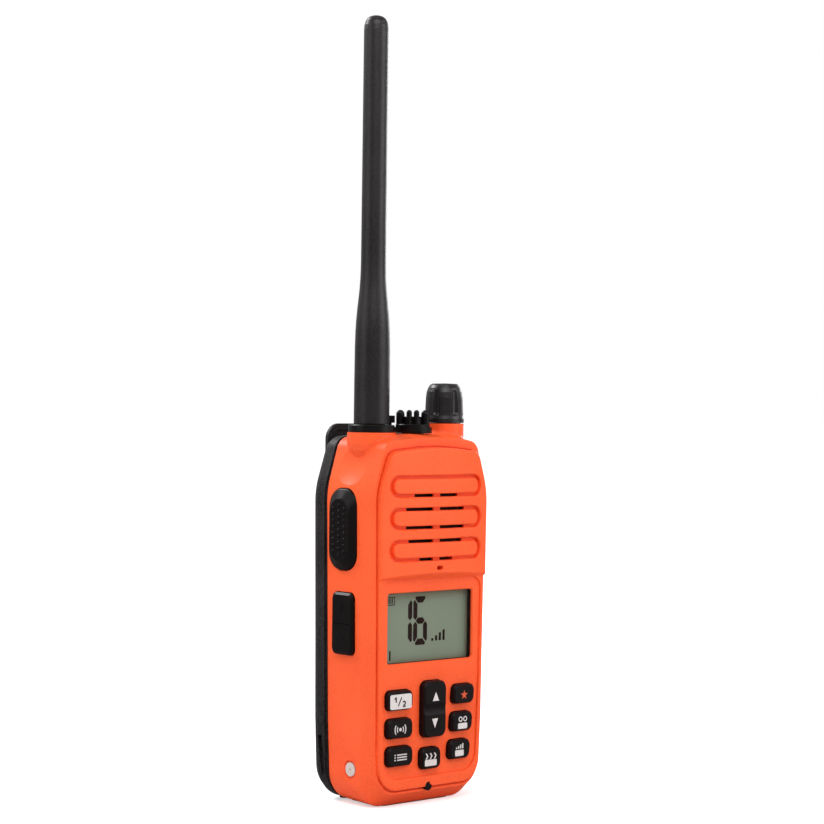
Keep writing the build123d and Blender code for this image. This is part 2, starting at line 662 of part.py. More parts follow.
# ================================================================ electronics
SPEAKER_R = 16.9
SPEAKER_Y = (0.7, 3.6, 7.4)
SPEAKER_MEMBRANE_Y = (-0.35, 0.3)
SPEAKER_MEMBRANE_R = 17.1
MAGNET_R = 10.0
SHIELD = (-20.0, 20.0, 10.1, 13.8, 54.0, 104.0)
MICROPHONE = (-1.7, 2.5, 2.7, 4.3, 88.1, 90.3)
VENT_Y = (2.7, 3.3)
VENT_R = 2.0
PTT_SWITCH = (-25.4, -21.5, 15.0, 20.0, 100.4, 106.4)
PTT_PLUNGER = (-25.6, -25.4, 16.6, 18.4, 102.5, 104.3)
SIDE_SWITCH = (-25.2, -21.5, 14.8, 18.8)
SIDE_SWITCH_LOW_Z = (58.8, 74.1)
SIDE_SWITCH_HEIGHT = 4.0
CONTACT_DISC_X = (26.72, 27.3)
CONTACT_TIP_X = 22.5
POT = (12.2, 23.2, 8.6, 18.6, 118.5, 127.8)
POT_BORE_Z = 127.6
SHAFT_BORE_R = 2.28
MEMBRANE_Y = 16.4
MEMBRANE_DEPTH = 11.8
MEMBRANE_CORNER = 2.0
MEMBRANE_THICKNESS = 0.5


def main_board():
    """Circuit board notched around the screw posts."""
    board = box(*BOARD)
    for x, z in POSTS:
        board -= rod_y(x, z, BOARD[2] - OVER, BOARD[3] + OVER, POST_R + BOARD_POST_GAP)
    return board


def rf_shield():
    """Screening can on the back of the board."""
    return box(*SHIELD)


def speaker():
    """Round speaker with its magnet."""
    y0, y1, y2 = SPEAKER_Y
    return rod_y(0, SPEAKER_Z, y0, y1, SPEAKER_R) + rod_y(0, SPEAKER_Z, y1, y2, MAGNET_R)


def speaker_membrane():
    """Thin water barrier in front of the speaker."""
    return rod_y(0, SPEAKER_Z, *SPEAKER_MEMBRANE_Y, SPEAKER_MEMBRANE_R)


def microphone():
    """Small microphone behind its port."""
    return box(*MICROPHONE)


def vent_membrane():
    """Breathing membrane behind the bottom port."""
    return rod_y(*PORT_XZ, *VENT_Y, VENT_R)


def ptt_switch():
    """Switch pressed by the talk bar."""
    return box(*PTT_SWITCH) + box(*PTT_PLUNGER)


def side_switches():
    """Pair of switches behind the side rocker."""
    return Compound([box(*SIDE_SWITCH, z, z + SIDE_SWITCH_HEIGHT) for z in SIDE_SWITCH_LOW_Z])


def side_membrane(z, height, outer_x):
    """Rubber sheet that seals a side opening from inside."""
    inner_x = outer_x + MEMBRANE_THICKNESS
    return side_pad(MEMBRANE_Y, z, MEMBRANE_DEPTH, height, MEMBRANE_CORNER, outer_x, inner_x)


def water_contact(hand):
    """Metal disc with a stem through the wall."""
    inner, outer = CONTACT_DISC_X
    low, high = sorted((hand * inner, hand * outer))
    disc = rod_x(*CONTACT_YZ, low, high, CONTACT_R)
    low, high = sorted((hand * CONTACT_TIP_X, hand * inner))
    return disc + rod_x(*CONTACT_YZ, low, high, CONTACT_STEM_R)


# ================================================================ top fittings
SOCKET = [(2.7, 123.5), (5.2, 123.5), (5.2, 124.9), (3.92, 124.9), (3.92, 139.6), (2.7, 139.6)]
COLLAR = [
    (3.2, 139.6), (8.6, 139.6), (8.75, 139.9), (8.75, 142.2), (8.5, 142.5), (5.9, 142.5), (5.9, 141.5),
    (4.3, 141.5), (4.3, 142.5), (3.2, 142.5),
]
O_RING = [(4.55, 141.6), (5.65, 141.6), (5.65, 142.5), (4.55, 142.5)]
STUD = [(0.0, 129.0), (2.2, 129.0), (2.62, 129.5), (2.62, 142.6), (0.0, 142.6)]
WHIP = [
    (0.0, 142.6), (6.5, 142.6), (6.7, 142.9), (6.69, 159.0), (6.62, 172.0), (6.46, 178.0), (6.25, 181.8),
    (5.93, 185.5), (5.54, 189.3), (5.16, 193.0), (4.9, 196.8), (4.77, 200.5), (4.72, 204.0), (4.62, 290.6),
    (4.5, 292.2), (4.1, 293.7), (3.5, 294.7), (2.6, 295.4), (1.4, 295.8), (0.0, 295.9),
]
KNOB = [
    (2.28, 143.4), (7.5, 143.4), (7.68, 143.6), (7.68, 144.9), (7.42, 146.2), (7.3, 149.0), (7.12, 153.0),
    (6.85, 155.2), (6.3, 156.8), (5.6, 157.9), (4.7, 158.45), (0.0, 158.6), (0.0, 152.9), (2.28, 152.9),
]
KNOB_FLUTES = 6
KNOB_FLUTE_START = 22.0
FLUTE_R = 2.0
FLUTE_CENTRE_R = 8.45
FLUTE_Z = (147.6, 155.4)
SHAFT = [(0.0, 127.9), (2.2, 127.9), (2.2, 152.8), (0.0, 152.8)]
BUSH = [(2.28, 127.5), (3.42, 127.5), (3.42, 143.0), (2.28, 143.0)]
KNOB_SEAL = [(3.9, 143.12), (6.4, 143.12), (6.4, 143.3), (3.9, 143.3)]
JACK = [
    (2.55, 128.0), (4.12, 128.0), (4.12, 139.9), (5.0, 139.9), (5.0, 140.95), (2.55, 140.95),
]
CAP_SKIRT = [
    (0.0, 131.0), (2.45, 131.0), (2.45, 141.05), (6.4, 141.05), (6.55, 141.3), (6.55, 142.5), (6.3, 142.8),
    (3.6, 142.8), (3.6, 145.4), (3.3, 145.7), (0.0, 145.7),
]
# Grip lobes of the cap: angle and radius of each
CAP_LOBES = ((137.5, 1.6), (210.5, 1.05), (244.5, 1.05), (317.5, 1.6), (30.5, 1.05), (64.5, 1.05))
CAP_LOBE_AT = 4.75
CAP_LOBE_FOOT = 142.6
CAP_LOBE_TOP = 148.2
# Ring of the tether: a low cup that the cap turns in
TETHER_RING = [
    (5.2, 139.42), (7.1, 139.42), (7.3, 139.7), (7.3, 141.7), (6.85, 141.7), (6.85, 140.85), (5.2, 140.85),
]
TETHER_WIDTH = 2.2
TETHER_FOOT = (6.9, 2.6, 139.98, 0.87)
TETHER_RISER = (8.0, 1.5, 139.98, 6.0)
TETHER_STRAP_Z = (143.2, 145.98)
TETHER_STRAP_START = 6.8
TETHER_STRAP_OVER = 1.2
TETHER_PIN_Z = (135.5, 143.4)
TETHER_PIN_R = 1.24


def volume_knob():
    """Knob with a flared foot and long finger flutes."""
    x, y = KNOB_XY
    knob = turned(KNOB, x, y)
    for i in range(KNOB_FLUTES):
        angle = math.radians(KNOB_FLUTE_START + i * 360.0 / KNOB_FLUTES)
        at_x = x + FLUTE_CENTRE_R * math.cos(angle)
        at_y = y + FLUTE_CENTRE_R * math.sin(angle)
        knob -= post(at_x, at_y, *FLUTE_Z, FLUTE_R)
        for z in FLUTE_Z:
            knob -= Pos(at_x, at_y, z) * Sphere(FLUTE_R)
    return knob


def volume_control():
    """Rotary control: body under the top wall, bushing through the boss."""
    bored = box(*POT) - post(*KNOB_XY, POT_BORE_Z, POT[5] + OVER, SHAFT_BORE_R)
    return bored + turned(BUSH, *KNOB_XY)


def jack_cap():
    """Round cap with grip lobes and a plug that fills the jack."""
    x, y = CAP_XY
    cap = turned(CAP_SKIRT, x, y)
    for angle, radius in CAP_LOBES:
        turn = math.radians(angle)
        at_x = x + CAP_LOBE_AT * math.cos(turn)
        at_y = y + CAP_LOBE_AT * math.sin(turn)
        top = CAP_LOBE_TOP - radius
        cap += post(at_x, at_y, CAP_LOBE_FOOT, top, radius)
        cap += Pos(at_x, at_y, top) * Sphere(radius)
    return cap


def jack_cap_tether():
    """Ring under the cap, raised strap and anchor pin in the top wall."""
    x, y = CAP_XY
    ax, ay = ANCHOR_XY
    length = math.hypot(ax - x, ay - y)
    angle = math.degrees(math.atan2(ay - y, ax - x))
    towards = Pos(x, y, 0) * Rot(0, 0, angle)
    low, high = TETHER_STRAP_Z
    strap_length = length + TETHER_STRAP_OVER - TETHER_STRAP_START
    tether = turned(TETHER_RING, x, y) + post(ax, ay, *TETHER_PIN_Z, TETHER_PIN_R)
    strap = (TETHER_STRAP_START, strap_length, low, high - low)
    for start, reach, z, height in (TETHER_FOOT, TETHER_RISER, strap):
        bar = Box(reach, TETHER_WIDTH, height, align=(Align.MIN, Align.CENTER, Align.MIN))
        tether += towards * Pos(start, 0, z) * bar
    return tether


# ================================================================ side buttons
PTT_X = (-31.6, -29.7, -27.6)
PTT_FACE_YZ = (17.25, 103.2)
PTT_FACE = (10.6, 23.0)
PTT_EDGE_R = 0.8
SIDE_KEY_X = (-30.2, -29.4, -27.3)
SIDE_KEY_BEVEL = 0.9
SIDE_KEY_EDGE_R = 0.3
SIDE_KEY_GROOVE = (0.45, 0.6)
PTT_MEMBRANE = (29.4, -26.3)
SIDE_KEY_MEMBRANE = (26.0, -25.85)


def ptt_button():
    """Talk bar with a wide bevel that runs up to its long oval face."""
    face_x, bevel_x, back_x = PTT_X
    outer = side_face(*PTT_YZ, *PTT_SIZE, PTT_CORNER, bevel_x)
    inner = side_face(*PTT_FACE_YZ, *PTT_FACE, PTT_FACE[0] / 2 - FULL_ROUND, face_x)
    bar = side_pad(*PTT_YZ, *PTT_SIZE, PTT_CORNER, bevel_x, back_x) + loft([inner, outer], ruled=True)
    bar = fillet(edges_at(bar, Axis.X, face_x), PTT_EDGE_R)
    return fillet(edges_at(bar, Axis.X, bevel_x), PTT_EDGE_R)


def side_key():
    """Two-way rocker with a groove between its halves."""
    y, z = SIDE_KEY_YZ
    w, h = SIDE_KEY_SIZE
    face_x, bevel_x, back_x = SIDE_KEY_X
    inset = 2 * SIDE_KEY_BEVEL
    outer = side_face(y, z, w, h, SIDE_KEY_CORNER, bevel_x)
    inner = side_face(y, z, w - inset, h - inset, SIDE_KEY_CORNER - SIDE_KEY_BEVEL / 2, face_x)
    rocker = side_pad(y, z, w, h, SIDE_KEY_CORNER, bevel_x, back_x) + loft([inner, outer], ruled=True)
    rocker = fillet(edges_at(rocker, Axis.X, face_x), SIDE_KEY_EDGE_R)
    depth, height = SIDE_KEY_GROOVE
    return rocker - box(face_x - OVER, face_x + depth, y - w, y + w, z - height / 2, z + height / 2)


# ================================================================ battery pack and belt clip
CELL_ROOM = (-22.0, 22.0, 28.5, 34.6, 24.0, 116.0)
CELLS = (-21.6, 21.6, 28.7, 34.3, 24.5, 115.5)
COVER = (46.7, 101.7, 4.0)
COVER_Z = 70.0
COVER_Y = (26.9, 28.3)
COVER_GAP = 0.15
COVER_SEAT = 0.25
TERMINAL = (4.6, 5.0)
TERMINAL_GAP = 0.1
TERMINAL_DEPTH = 0.5
TERMINAL_SINK = 0.02
LATCH_CHANNEL = (-4.4, 4.4, 5.6, 11.6)
LATCH_HOOK = (-4.1, 4.1, 25.2, 36.4, 5.9, 8.2)
LATCH_PAD = (0.0, 9.2, 17.0, 10.4, 0, 2.4)
LATCH_PAD_Y = (36.35, 37.7)
LATCH_RIBS = 4
LATCH_RIB_PITCH = 2.0
LATCH_GROOVE = (6.0, 0.45, 0.8)
GRIP_SLOT = ((30.8, 25.0), (28.9, 9.4))
GRIP_SLOT_X = 28.6
GRIP_SLOT_SIZE = (3.6, 2.3)
CLIP_PIN_YZ = (40.8, 122.0)
CLIP_PIN_R = 1.5
CLIP_PIN_HALF = 11.8
CLIP_PIN_BORE_R = 1.57
CLIP_BORE_HALF = 14.0
CLIP_EAR_X = (8.7, 11.4)
CLIP_EAR_R = 3.2
CLIP_LUG_X = (5.6, 8.4)
CLIP_LUG_R = 2.6
CLIP_BASE = (-12.5, 12.5, 36.3, 38.0, 104.0, 133.0)
CLIP_BASE_HOLE_R = 1.2
CLIP_BASE_SEAT = (2.3, 0.9)
CLIP_SCREWS = ((-8.0, 108.5), (8.0, 108.5))
CLIP_SCREW_HEAD_R = 2.0
CLIP_SCREW_HEAD = (0.85, 0.05)
CLIP_SCREW_SHANK_R = 0.88
CLIP_SCREW_HOLE_R = 0.95
CLIP_SCREW_TIP_Y = 35.2
CLIP_SCREW_HOLE_Y = 35.0
CLIP_PLATE = (0.0, 102.6, 28.6, 80.0, 0, 6.0)
CLIP_PLATE_Y = (44.3, 46.3)
CLIP_RIM = 2.4
CLIP_DISH_HEIGHT = 20.0
CLIP_DISH_DEPTH = 0.9
CLIP_FOOT = (11.0, 1.6)
CLIP_FOOT_UP = 6.0
CLIP_TIP_Y = 36.6
JOIN = 0.1                 # overlap that joins two shapes of one moulding
SPRING_TURNS = 5
SPRING_WIRE_R = 0.45
SPRING_WIRE_SIDES = 8
SPRING_R = 2.25
SPRING_PITCH = 1.35


def pack_shell():
    """Outside of the pack: rebated front rim, straight sides and a rounded back."""
    shell = block(PACK, PACK_TOP_Z, PACK_REBATE_Y, PACK_MID_Y)
    shell += taper(PACK, PACK_TOP_Z, PACK_MID_Y, PACK_SOFT, PACK_SOFT_TOP_Z, PACK_SOFT_Y)
    shell += taper(PACK_SOFT, PACK_SOFT_TOP_Z, PACK_SOFT_Y, PACK_REAR, PACK_REAR_TOP_Z, PACK_BACK_Y)
    for y in (PACK_MID_Y, PACK_SOFT_Y):
        shell = fillet(edges_at(shell, Axis.Y, y), PACK_EDGE_R)
    return shell + block(PACK_REBATE, PACK_REBATE_TOP_Z, PACK_FRONT_Y, PACK_REBATE_Y)


def battery_case():
    """Hollow pack shell with grip slots, latch channel and two studs."""
    case = pack_shell() - box(*CELL_ROOM)
    w, h, r = COVER
    gap = 2 * COVER_GAP
    case -= pad(0, COVER_Z, w + gap, h + gap, 0, r, PACK_FRONT_Y - OVER, COVER_Y[1] + COVER_SEAT)
    x0, x1, z0, z1 = LATCH_CHANNEL
    case -= box(x0, x1, PACK_FRONT_Y - OVER, PACK_BACK_Y + OVER, z0, z1)
    (ya, za), (yb, zb) = GRIP_SLOT
    lean = math.degrees(math.atan2(ya - yb, za - zb))
    length = math.hypot(ya - yb, za - zb)
    for hand in (-1, 1):
        slot = Rot(-lean, 0, 0) * Box(*GRIP_SLOT_SIZE, length)
        case -= Pos(hand * GRIP_SLOT_X, (ya + yb) / 2, (za + zb) / 2) * slot
        case += post(hand * PACK_FOOT[0], PACK_FOOT[1], *PACK_FOOT_Z, PACK_FOOT_R)
    for x, z in CLIP_SCREWS:
        case -= rod_y(x, z, CLIP_SCREW_HOLE_Y, PACK_BACK_Y + OVER, CLIP_SCREW_HOLE_R)
    return case


def terminal_box(x, gap, y0, y1):
    """Box at one terminal, smaller all round by a gap."""
    w = TERMINAL[0] / 2 - gap
    h = TERMINAL[1] / 2 - gap
    return box(x - w, x + w, y0, y1, PIN_Z - h, PIN_Z + h)


def battery_cover():
    """Inner cover of the pack with seats for the terminals."""
    w, h, r = COVER
    cover = pad(0, COVER_Z, w, h, 0, r, *COVER_Y)
    for x in PIN_X:
        cover -= terminal_box(x, 0, COVER_Y[0] - OVER, COVER_Y[0] + TERMINAL_DEPTH)
    return cover


def battery_terminals():
    """Flat plated terminals let into the inner cover."""
    y0 = COVER_Y[0]
    return Compound([terminal_box(x, TERMINAL_GAP, y0 + TERMINAL_SINK, y0 + TERMINAL_DEPTH) for x in PIN_X])


def battery_latch():
    """Thumb slide on the back with a flat tongue through the pack."""
    x, z = LATCH_PAD[:2]
    slide = pad(*LATCH_PAD, *LATCH_PAD_Y)
    half_length, depth, height = LATCH_GROOVE
    back = LATCH_PAD_Y[1]
    for k in range(LATCH_RIBS):
        low = z + (k - (LATCH_RIBS - 1) / 2) * LATCH_RIB_PITCH - height / 2
        slide -= box(x - half_length, x + half_length, back - depth, back + OVER, low, low + height)
    return slide + box(*LATCH_HOOK)


def clip_base():
    """Screwed foot of the belt clip with two ears for the pin."""
    base = box(*CLIP_BASE)
    y, z = CLIP_PIN_YZ
    y0, y1 = CLIP_BASE[2:4]
    for hand in (-1, 1):
        low, high = sorted((hand * CLIP_EAR_X[0], hand * CLIP_EAR_X[1]))
        base += box(low, high, y1 - JOIN, y, z - CLIP_EAR_R, z + CLIP_EAR_R)
        base += rod_x(y, z, low, high, CLIP_EAR_R)
    base -= rod_x(y, z, -CLIP_BORE_HALF, CLIP_BORE_HALF, CLIP_PIN_BORE_R)
    seat_r, seat_depth = CLIP_BASE_SEAT
    for x, at in CLIP_SCREWS:
        base -= rod_y(x, at, y0 - OVER, y1 + OVER, CLIP_BASE_HOLE_R)
        base -= rod_y(x, at, y1 - seat_depth, y1 + OVER, seat_r)
    return base


def clip_screws():
    """Two screws that hold the clip foot to the pack."""
    back = CLIP_BASE[3]
    deep, sunk = CLIP_SCREW_HEAD
    screws = []
    for x, z in CLIP_SCREWS:
        head = rod_y(x, z, back - deep, back - sunk, CLIP_SCREW_HEAD_R)
        screws.append(head + rod_y(x, z, CLIP_SCREW_TIP_Y, back - deep, CLIP_SCREW_SHANK_R))
    return Compound(screws)


def clip_pin():
    """Steel hinge pin of the belt clip."""
    return rod_x(*CLIP_PIN_YZ, -CLIP_PIN_HALF, CLIP_PIN_HALF, CLIP_PIN_R)


def clip_spring():
    """Coils of the clip spring around the pin."""
    y, z = CLIP_PIN_YZ
    wire = Pos(SPRING_R, 0, 0) * Rot(90, 0, 0) * RegularPolygon(SPRING_WIRE_R, SPRING_WIRE_SIDES)
    ring = Rot(0, 90, 0) * revolve(wire, Axis.Z)
    coils = []
    for k in range(SPRING_TURNS):
        x = (k - (SPRING_TURNS - 1) / 2) * SPRING_PITCH
        coils.append(Pos(x, y, z) * ring)
    return Compound(coils)


def clip_lever():
    """Belt clip plate with a dished thumb pad, lugs on the pin and a gripping tip."""
    x, z, w, h, lean, r = CLIP_PLATE
    y0, y1 = CLIP_PLATE_Y
    plate = pad(*CLIP_PLATE, y0, y1)
    plate = fillet(edges_at(plate, Axis.Y, y1), CLIP_EDGE_R)
    rim = CLIP_RIM
    dish_z = z + h / 2 - CLIP_DISH_HEIGHT / 2
    dish = (x, dish_z, w - 2 * rim, CLIP_DISH_HEIGHT - 2 * rim, lean, r - rim)
    plate -= pad(*dish, y0 - OVER, y0 + CLIP_DISH_DEPTH)
    py, pz = CLIP_PIN_YZ
    for hand in (-1, 1):
        low, high = sorted((hand * CLIP_LUG_X[0], hand * CLIP_LUG_X[1]))
        plate += box(low, high, py, y0 + JOIN, pz - CLIP_LUG_R, pz + CLIP_LUG_R)
        plate += rod_x(py, pz, low, high, CLIP_LUG_R)
    plate -= rod_x(py, pz, -CLIP_BORE_HALF, CLIP_BORE_HALF, CLIP_PIN_BORE_R)
    half_width, half_height = CLIP_FOOT
    low = z - h / 2 + CLIP_FOOT_UP - half_height
    return plate + box(-half_width, half_width, CLIP_TIP_Y, y0 + JOIN, low, low + 2 * half_height)


# ================================================================ write every sub-part
def main():
    """Build and write all sub-parts."""
    export("front_housing", front_housing())
    export("rear_chassis", rear_chassis())
    export("chassis_gasket", chassis_gasket())
    export("chassis_screws", chassis_screws())
    export("battery_contacts", battery_contacts())
    export("display_window", display_window())
    export("display_panel", display_panel())
    export("display_frame", display_frame())
    export("keypad_mat", keypad_mat())
    export("key_board", key_board())
    for name, spec in KEYS.items():
        export(name, key(*spec))
    export("channel_key", channel_key())
    export("main_board", main_board())
    export("rf_shield", rf_shield())
    export("speaker", speaker())
    export("speaker_membrane", speaker_membrane())
    export("microphone", microphone())
    export("vent_membrane", vent_membrane())
    export("ptt_switch", ptt_switch())
    export("side_switches", side_switches())
    export("ptt_membrane", side_membrane(PTT_YZ[1], *PTT_MEMBRANE))
    export("side_key_membrane", side_membrane(SIDE_KEY_YZ[1], *SIDE_KEY_MEMBRANE))
    export("water_contact_left", water_contact(-1))
    export("water_contact_right", water_contact(1))
    export("antenna_socket", turned(SOCKET, *ANTENNA_XY))
    export("antenna_collar", turned(COLLAR, *ANTENNA_XY))
    export("antenna_oring", turned(O_RING, *ANTENNA_XY))
    export("antenna_connector", turned(STUD, *ANTENNA_XY))
    export("antenna_whip", turned(WHIP, *ANTENNA_XY))
    export("volume_knob", volume_knob())
    export("volume_shaft", turned(SHAFT, *KNOB_XY))
    export("volume_control", volume_control())
    export("knob_seal", turned(KNOB_SEAL, *KNOB_XY))
    export("accessory_jack", turned(JACK, *CAP_XY))
    export("jack_cap", jack_cap())
    export("jack_cap_tether", jack_cap_tether())
    export("ptt_button", ptt_button())
    export("side_key", side_key())
    export("battery_case", battery_case())
    export("battery_cover", battery_cover())
    export("battery_cells", box(*CELLS))
    export("battery_terminals", battery_terminals())
    export("battery_latch", battery_latch())
    export("clip_base", clip_base())
    export("clip_screws", clip_screws())
    export("clip_pin", clip_pin())
    export("clip_spring", clip_spring())
    export("clip_lever", clip_lever())


main()
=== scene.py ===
"""Looks of a handheld marine radio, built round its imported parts.

The row frame has +Z up, the display faces -Y, the talk bar is on the -X side, and the origin is the middle
of the pad under the housing. Objects lie in it in metres. The sub-assemblies hold their sizes in millimetres,
where nothing else is said, and MM turns those into metres. A depth behind the keypad face is along +Y.
"""

import logging
import math
from dataclasses import dataclass, field
from enum import Enum

import bmesh
import bpy
from mathutils import Matrix, Vector


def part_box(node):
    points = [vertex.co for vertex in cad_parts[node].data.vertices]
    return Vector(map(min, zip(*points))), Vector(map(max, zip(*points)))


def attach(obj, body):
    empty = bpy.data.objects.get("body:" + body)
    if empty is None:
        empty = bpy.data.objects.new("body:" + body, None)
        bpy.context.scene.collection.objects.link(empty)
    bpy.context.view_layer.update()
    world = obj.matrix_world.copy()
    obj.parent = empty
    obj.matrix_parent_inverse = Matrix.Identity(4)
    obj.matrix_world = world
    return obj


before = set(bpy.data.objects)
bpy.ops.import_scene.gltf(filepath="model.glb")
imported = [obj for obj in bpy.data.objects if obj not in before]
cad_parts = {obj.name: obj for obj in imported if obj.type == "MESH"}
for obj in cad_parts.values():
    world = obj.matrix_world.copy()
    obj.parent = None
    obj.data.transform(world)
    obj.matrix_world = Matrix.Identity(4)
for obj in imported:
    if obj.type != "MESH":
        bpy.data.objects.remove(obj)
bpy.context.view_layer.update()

LOG = logging.getLogger("radio")

MM = 0.001
KEYPAD_PLANE_Y = -16.0     # depth of the flat keypad face in the row frame, in millimetres
ORIGIN = (0.0, 0.0)        # middle of an outline's own plane

Point2 = tuple[float, float]
Point3 = tuple[float, float, float]
Outline = list[Point2]
Colour = tuple[float, float, float]
Socket = bpy.types.NodeSocket


# ------------------------------------------------------------------ node graph helper
class Graph:
    """A node tree with short calls for adding and wiring nodes.

    Attributes:
        MIX_FIRST: place of a Mix node's first colour input.
        MIX_SECOND: place of its second colour input.
        MIX_RESULT: place of its colour output.
    """

    MIX_FIRST = 6
    MIX_SECOND = 7
    MIX_RESULT = 2

    def __init__(self, tree: bpy.types.NodeTree) -> None:
        """Keep the tree that nodes are added to."""
        self.tree = tree

    def add(self, kind: str, **settings: object) -> bpy.types.Node:
        """Add one node.

        Args:
            kind: Blender's node type name.
            **settings: properties of the node.

        Returns:
            The new node.
        """
        node = self.tree.nodes.new(kind)
        for key, value in settings.items():
            setattr(node, key, value)
        return node

    def link(self, source: Socket, target: Socket) -> None:
        """Wire an output to an input."""
        self.tree.links.new(source, target)

    def feed(self, value: object, target: Socket) -> None:
        """Wire a socket to an input, or write a plain value on it.

        Args:
            value: socket, number or colour.
            target: the input.
        """
        if isinstance(value, Socket):
            self.link(value, target)
        else:
            target.default_value = value

    def math(self, operation: str, first: object, second: object) -> Socket:
        """Add a Math node.

        Args:
            operation: name of the Math operation.
            first: socket or number.
            second: socket or number.

        Returns:
            The node's output.
        """
        node = self.add("ShaderNodeMath", operation=operation)
        self.feed(first, node.inputs[0])
        self.feed(second, node.inputs[1])
        return node.outputs[0]

    def ramp(self, source: Socket, low: float, high: float) -> Socket:
        """Stretch the span low to high of a value over 0 to 1, with smooth ends.

        Args:
            source: value to stretch.
            low: value that becomes 0.
            high: value that becomes 1.

        Returns:
            The stretched value.
        """
        node = self.add("ShaderNodeMapRange", interpolation_type="SMOOTHSTEP")
        node.inputs["From Min"].default_value = low
        node.inputs["From Max"].default_value = high
        self.link(source, node.inputs["Value"])
        return node.outputs["Result"]

    def mix(self, share: Socket, first: object, second: object) -> Socket:
        """Add a mix of two colours.

        Args:
            share: how much of the second colour shows.
            first: socket or colour.
            second: socket or colour.

        Returns:
            The mixed colour.
        """
        node = self.add("ShaderNodeMix", data_type="RGBA")
        self.link(share, node.inputs["Factor"])
        self.feed(first, node.inputs[self.MIX_FIRST])
        self.feed(second, node.inputs[self.MIX_SECOND])
        return node.outputs[self.MIX_RESULT]

    def own_place(self) -> Socket:
        """Where a point lies in its object's own space, in metres."""
        return self.add("ShaderNodeTexCoord").outputs["Object"]

    def noise(self, place: Socket, scale: object, detail: float = 2.0) -> bpy.types.Node:
        """Add a noise.

        Args:
            place: where the noise is read.
            scale: socket or number.
            detail: octaves of the noise.

        Returns:
            The noise's node.
        """
        node = self.add("ShaderNodeTexNoise", noise_dimensions="3D")
        node.inputs["Detail"].default_value = detail
        self.link(place, node.inputs["Vector"])
        self.feed(scale, node.inputs["Scale"])
        return node


class SharedGroup:
    """A shader node group that several finishes place with their own values."""

    def __init__(self, name: str, inputs: dict[str, tuple[str, object]], outputs: dict[str, str]) -> None:
        """Make an empty group.

        Args:
            name: name of the group.
            inputs: socket name to its type and default.
            outputs: socket name to its type.
        """
        self.tree = bpy.data.node_groups.new(name, "ShaderNodeTree")
        for socket_name, (kind, value) in inputs.items():
            socket = self.tree.interface.new_socket(socket_name, in_out="INPUT", socket_type=kind)
            socket.default_value = value
        for socket_name, kind in outputs.items():
            self.tree.interface.new_socket(socket_name, in_out="OUTPUT", socket_type=kind)
        self.graph = Graph(self.tree)
        self.source = self.graph.add("NodeGroupInput")
        self.result = self.graph.add("NodeGroupOutput")

    def place(self, graph: Graph, **values: object) -> bpy.types.Node:
        """Put the group in a material.

        Args:
            graph: the material's graph.
            **values: socket values; an underscore stands for a space.

        Returns:
            The group's node.
        """
        node = graph.add("ShaderNodeGroup", node_tree=self.tree)
        for key, value in values.items():
            node.inputs[key.replace("_", " ")].default_value = value
        return node


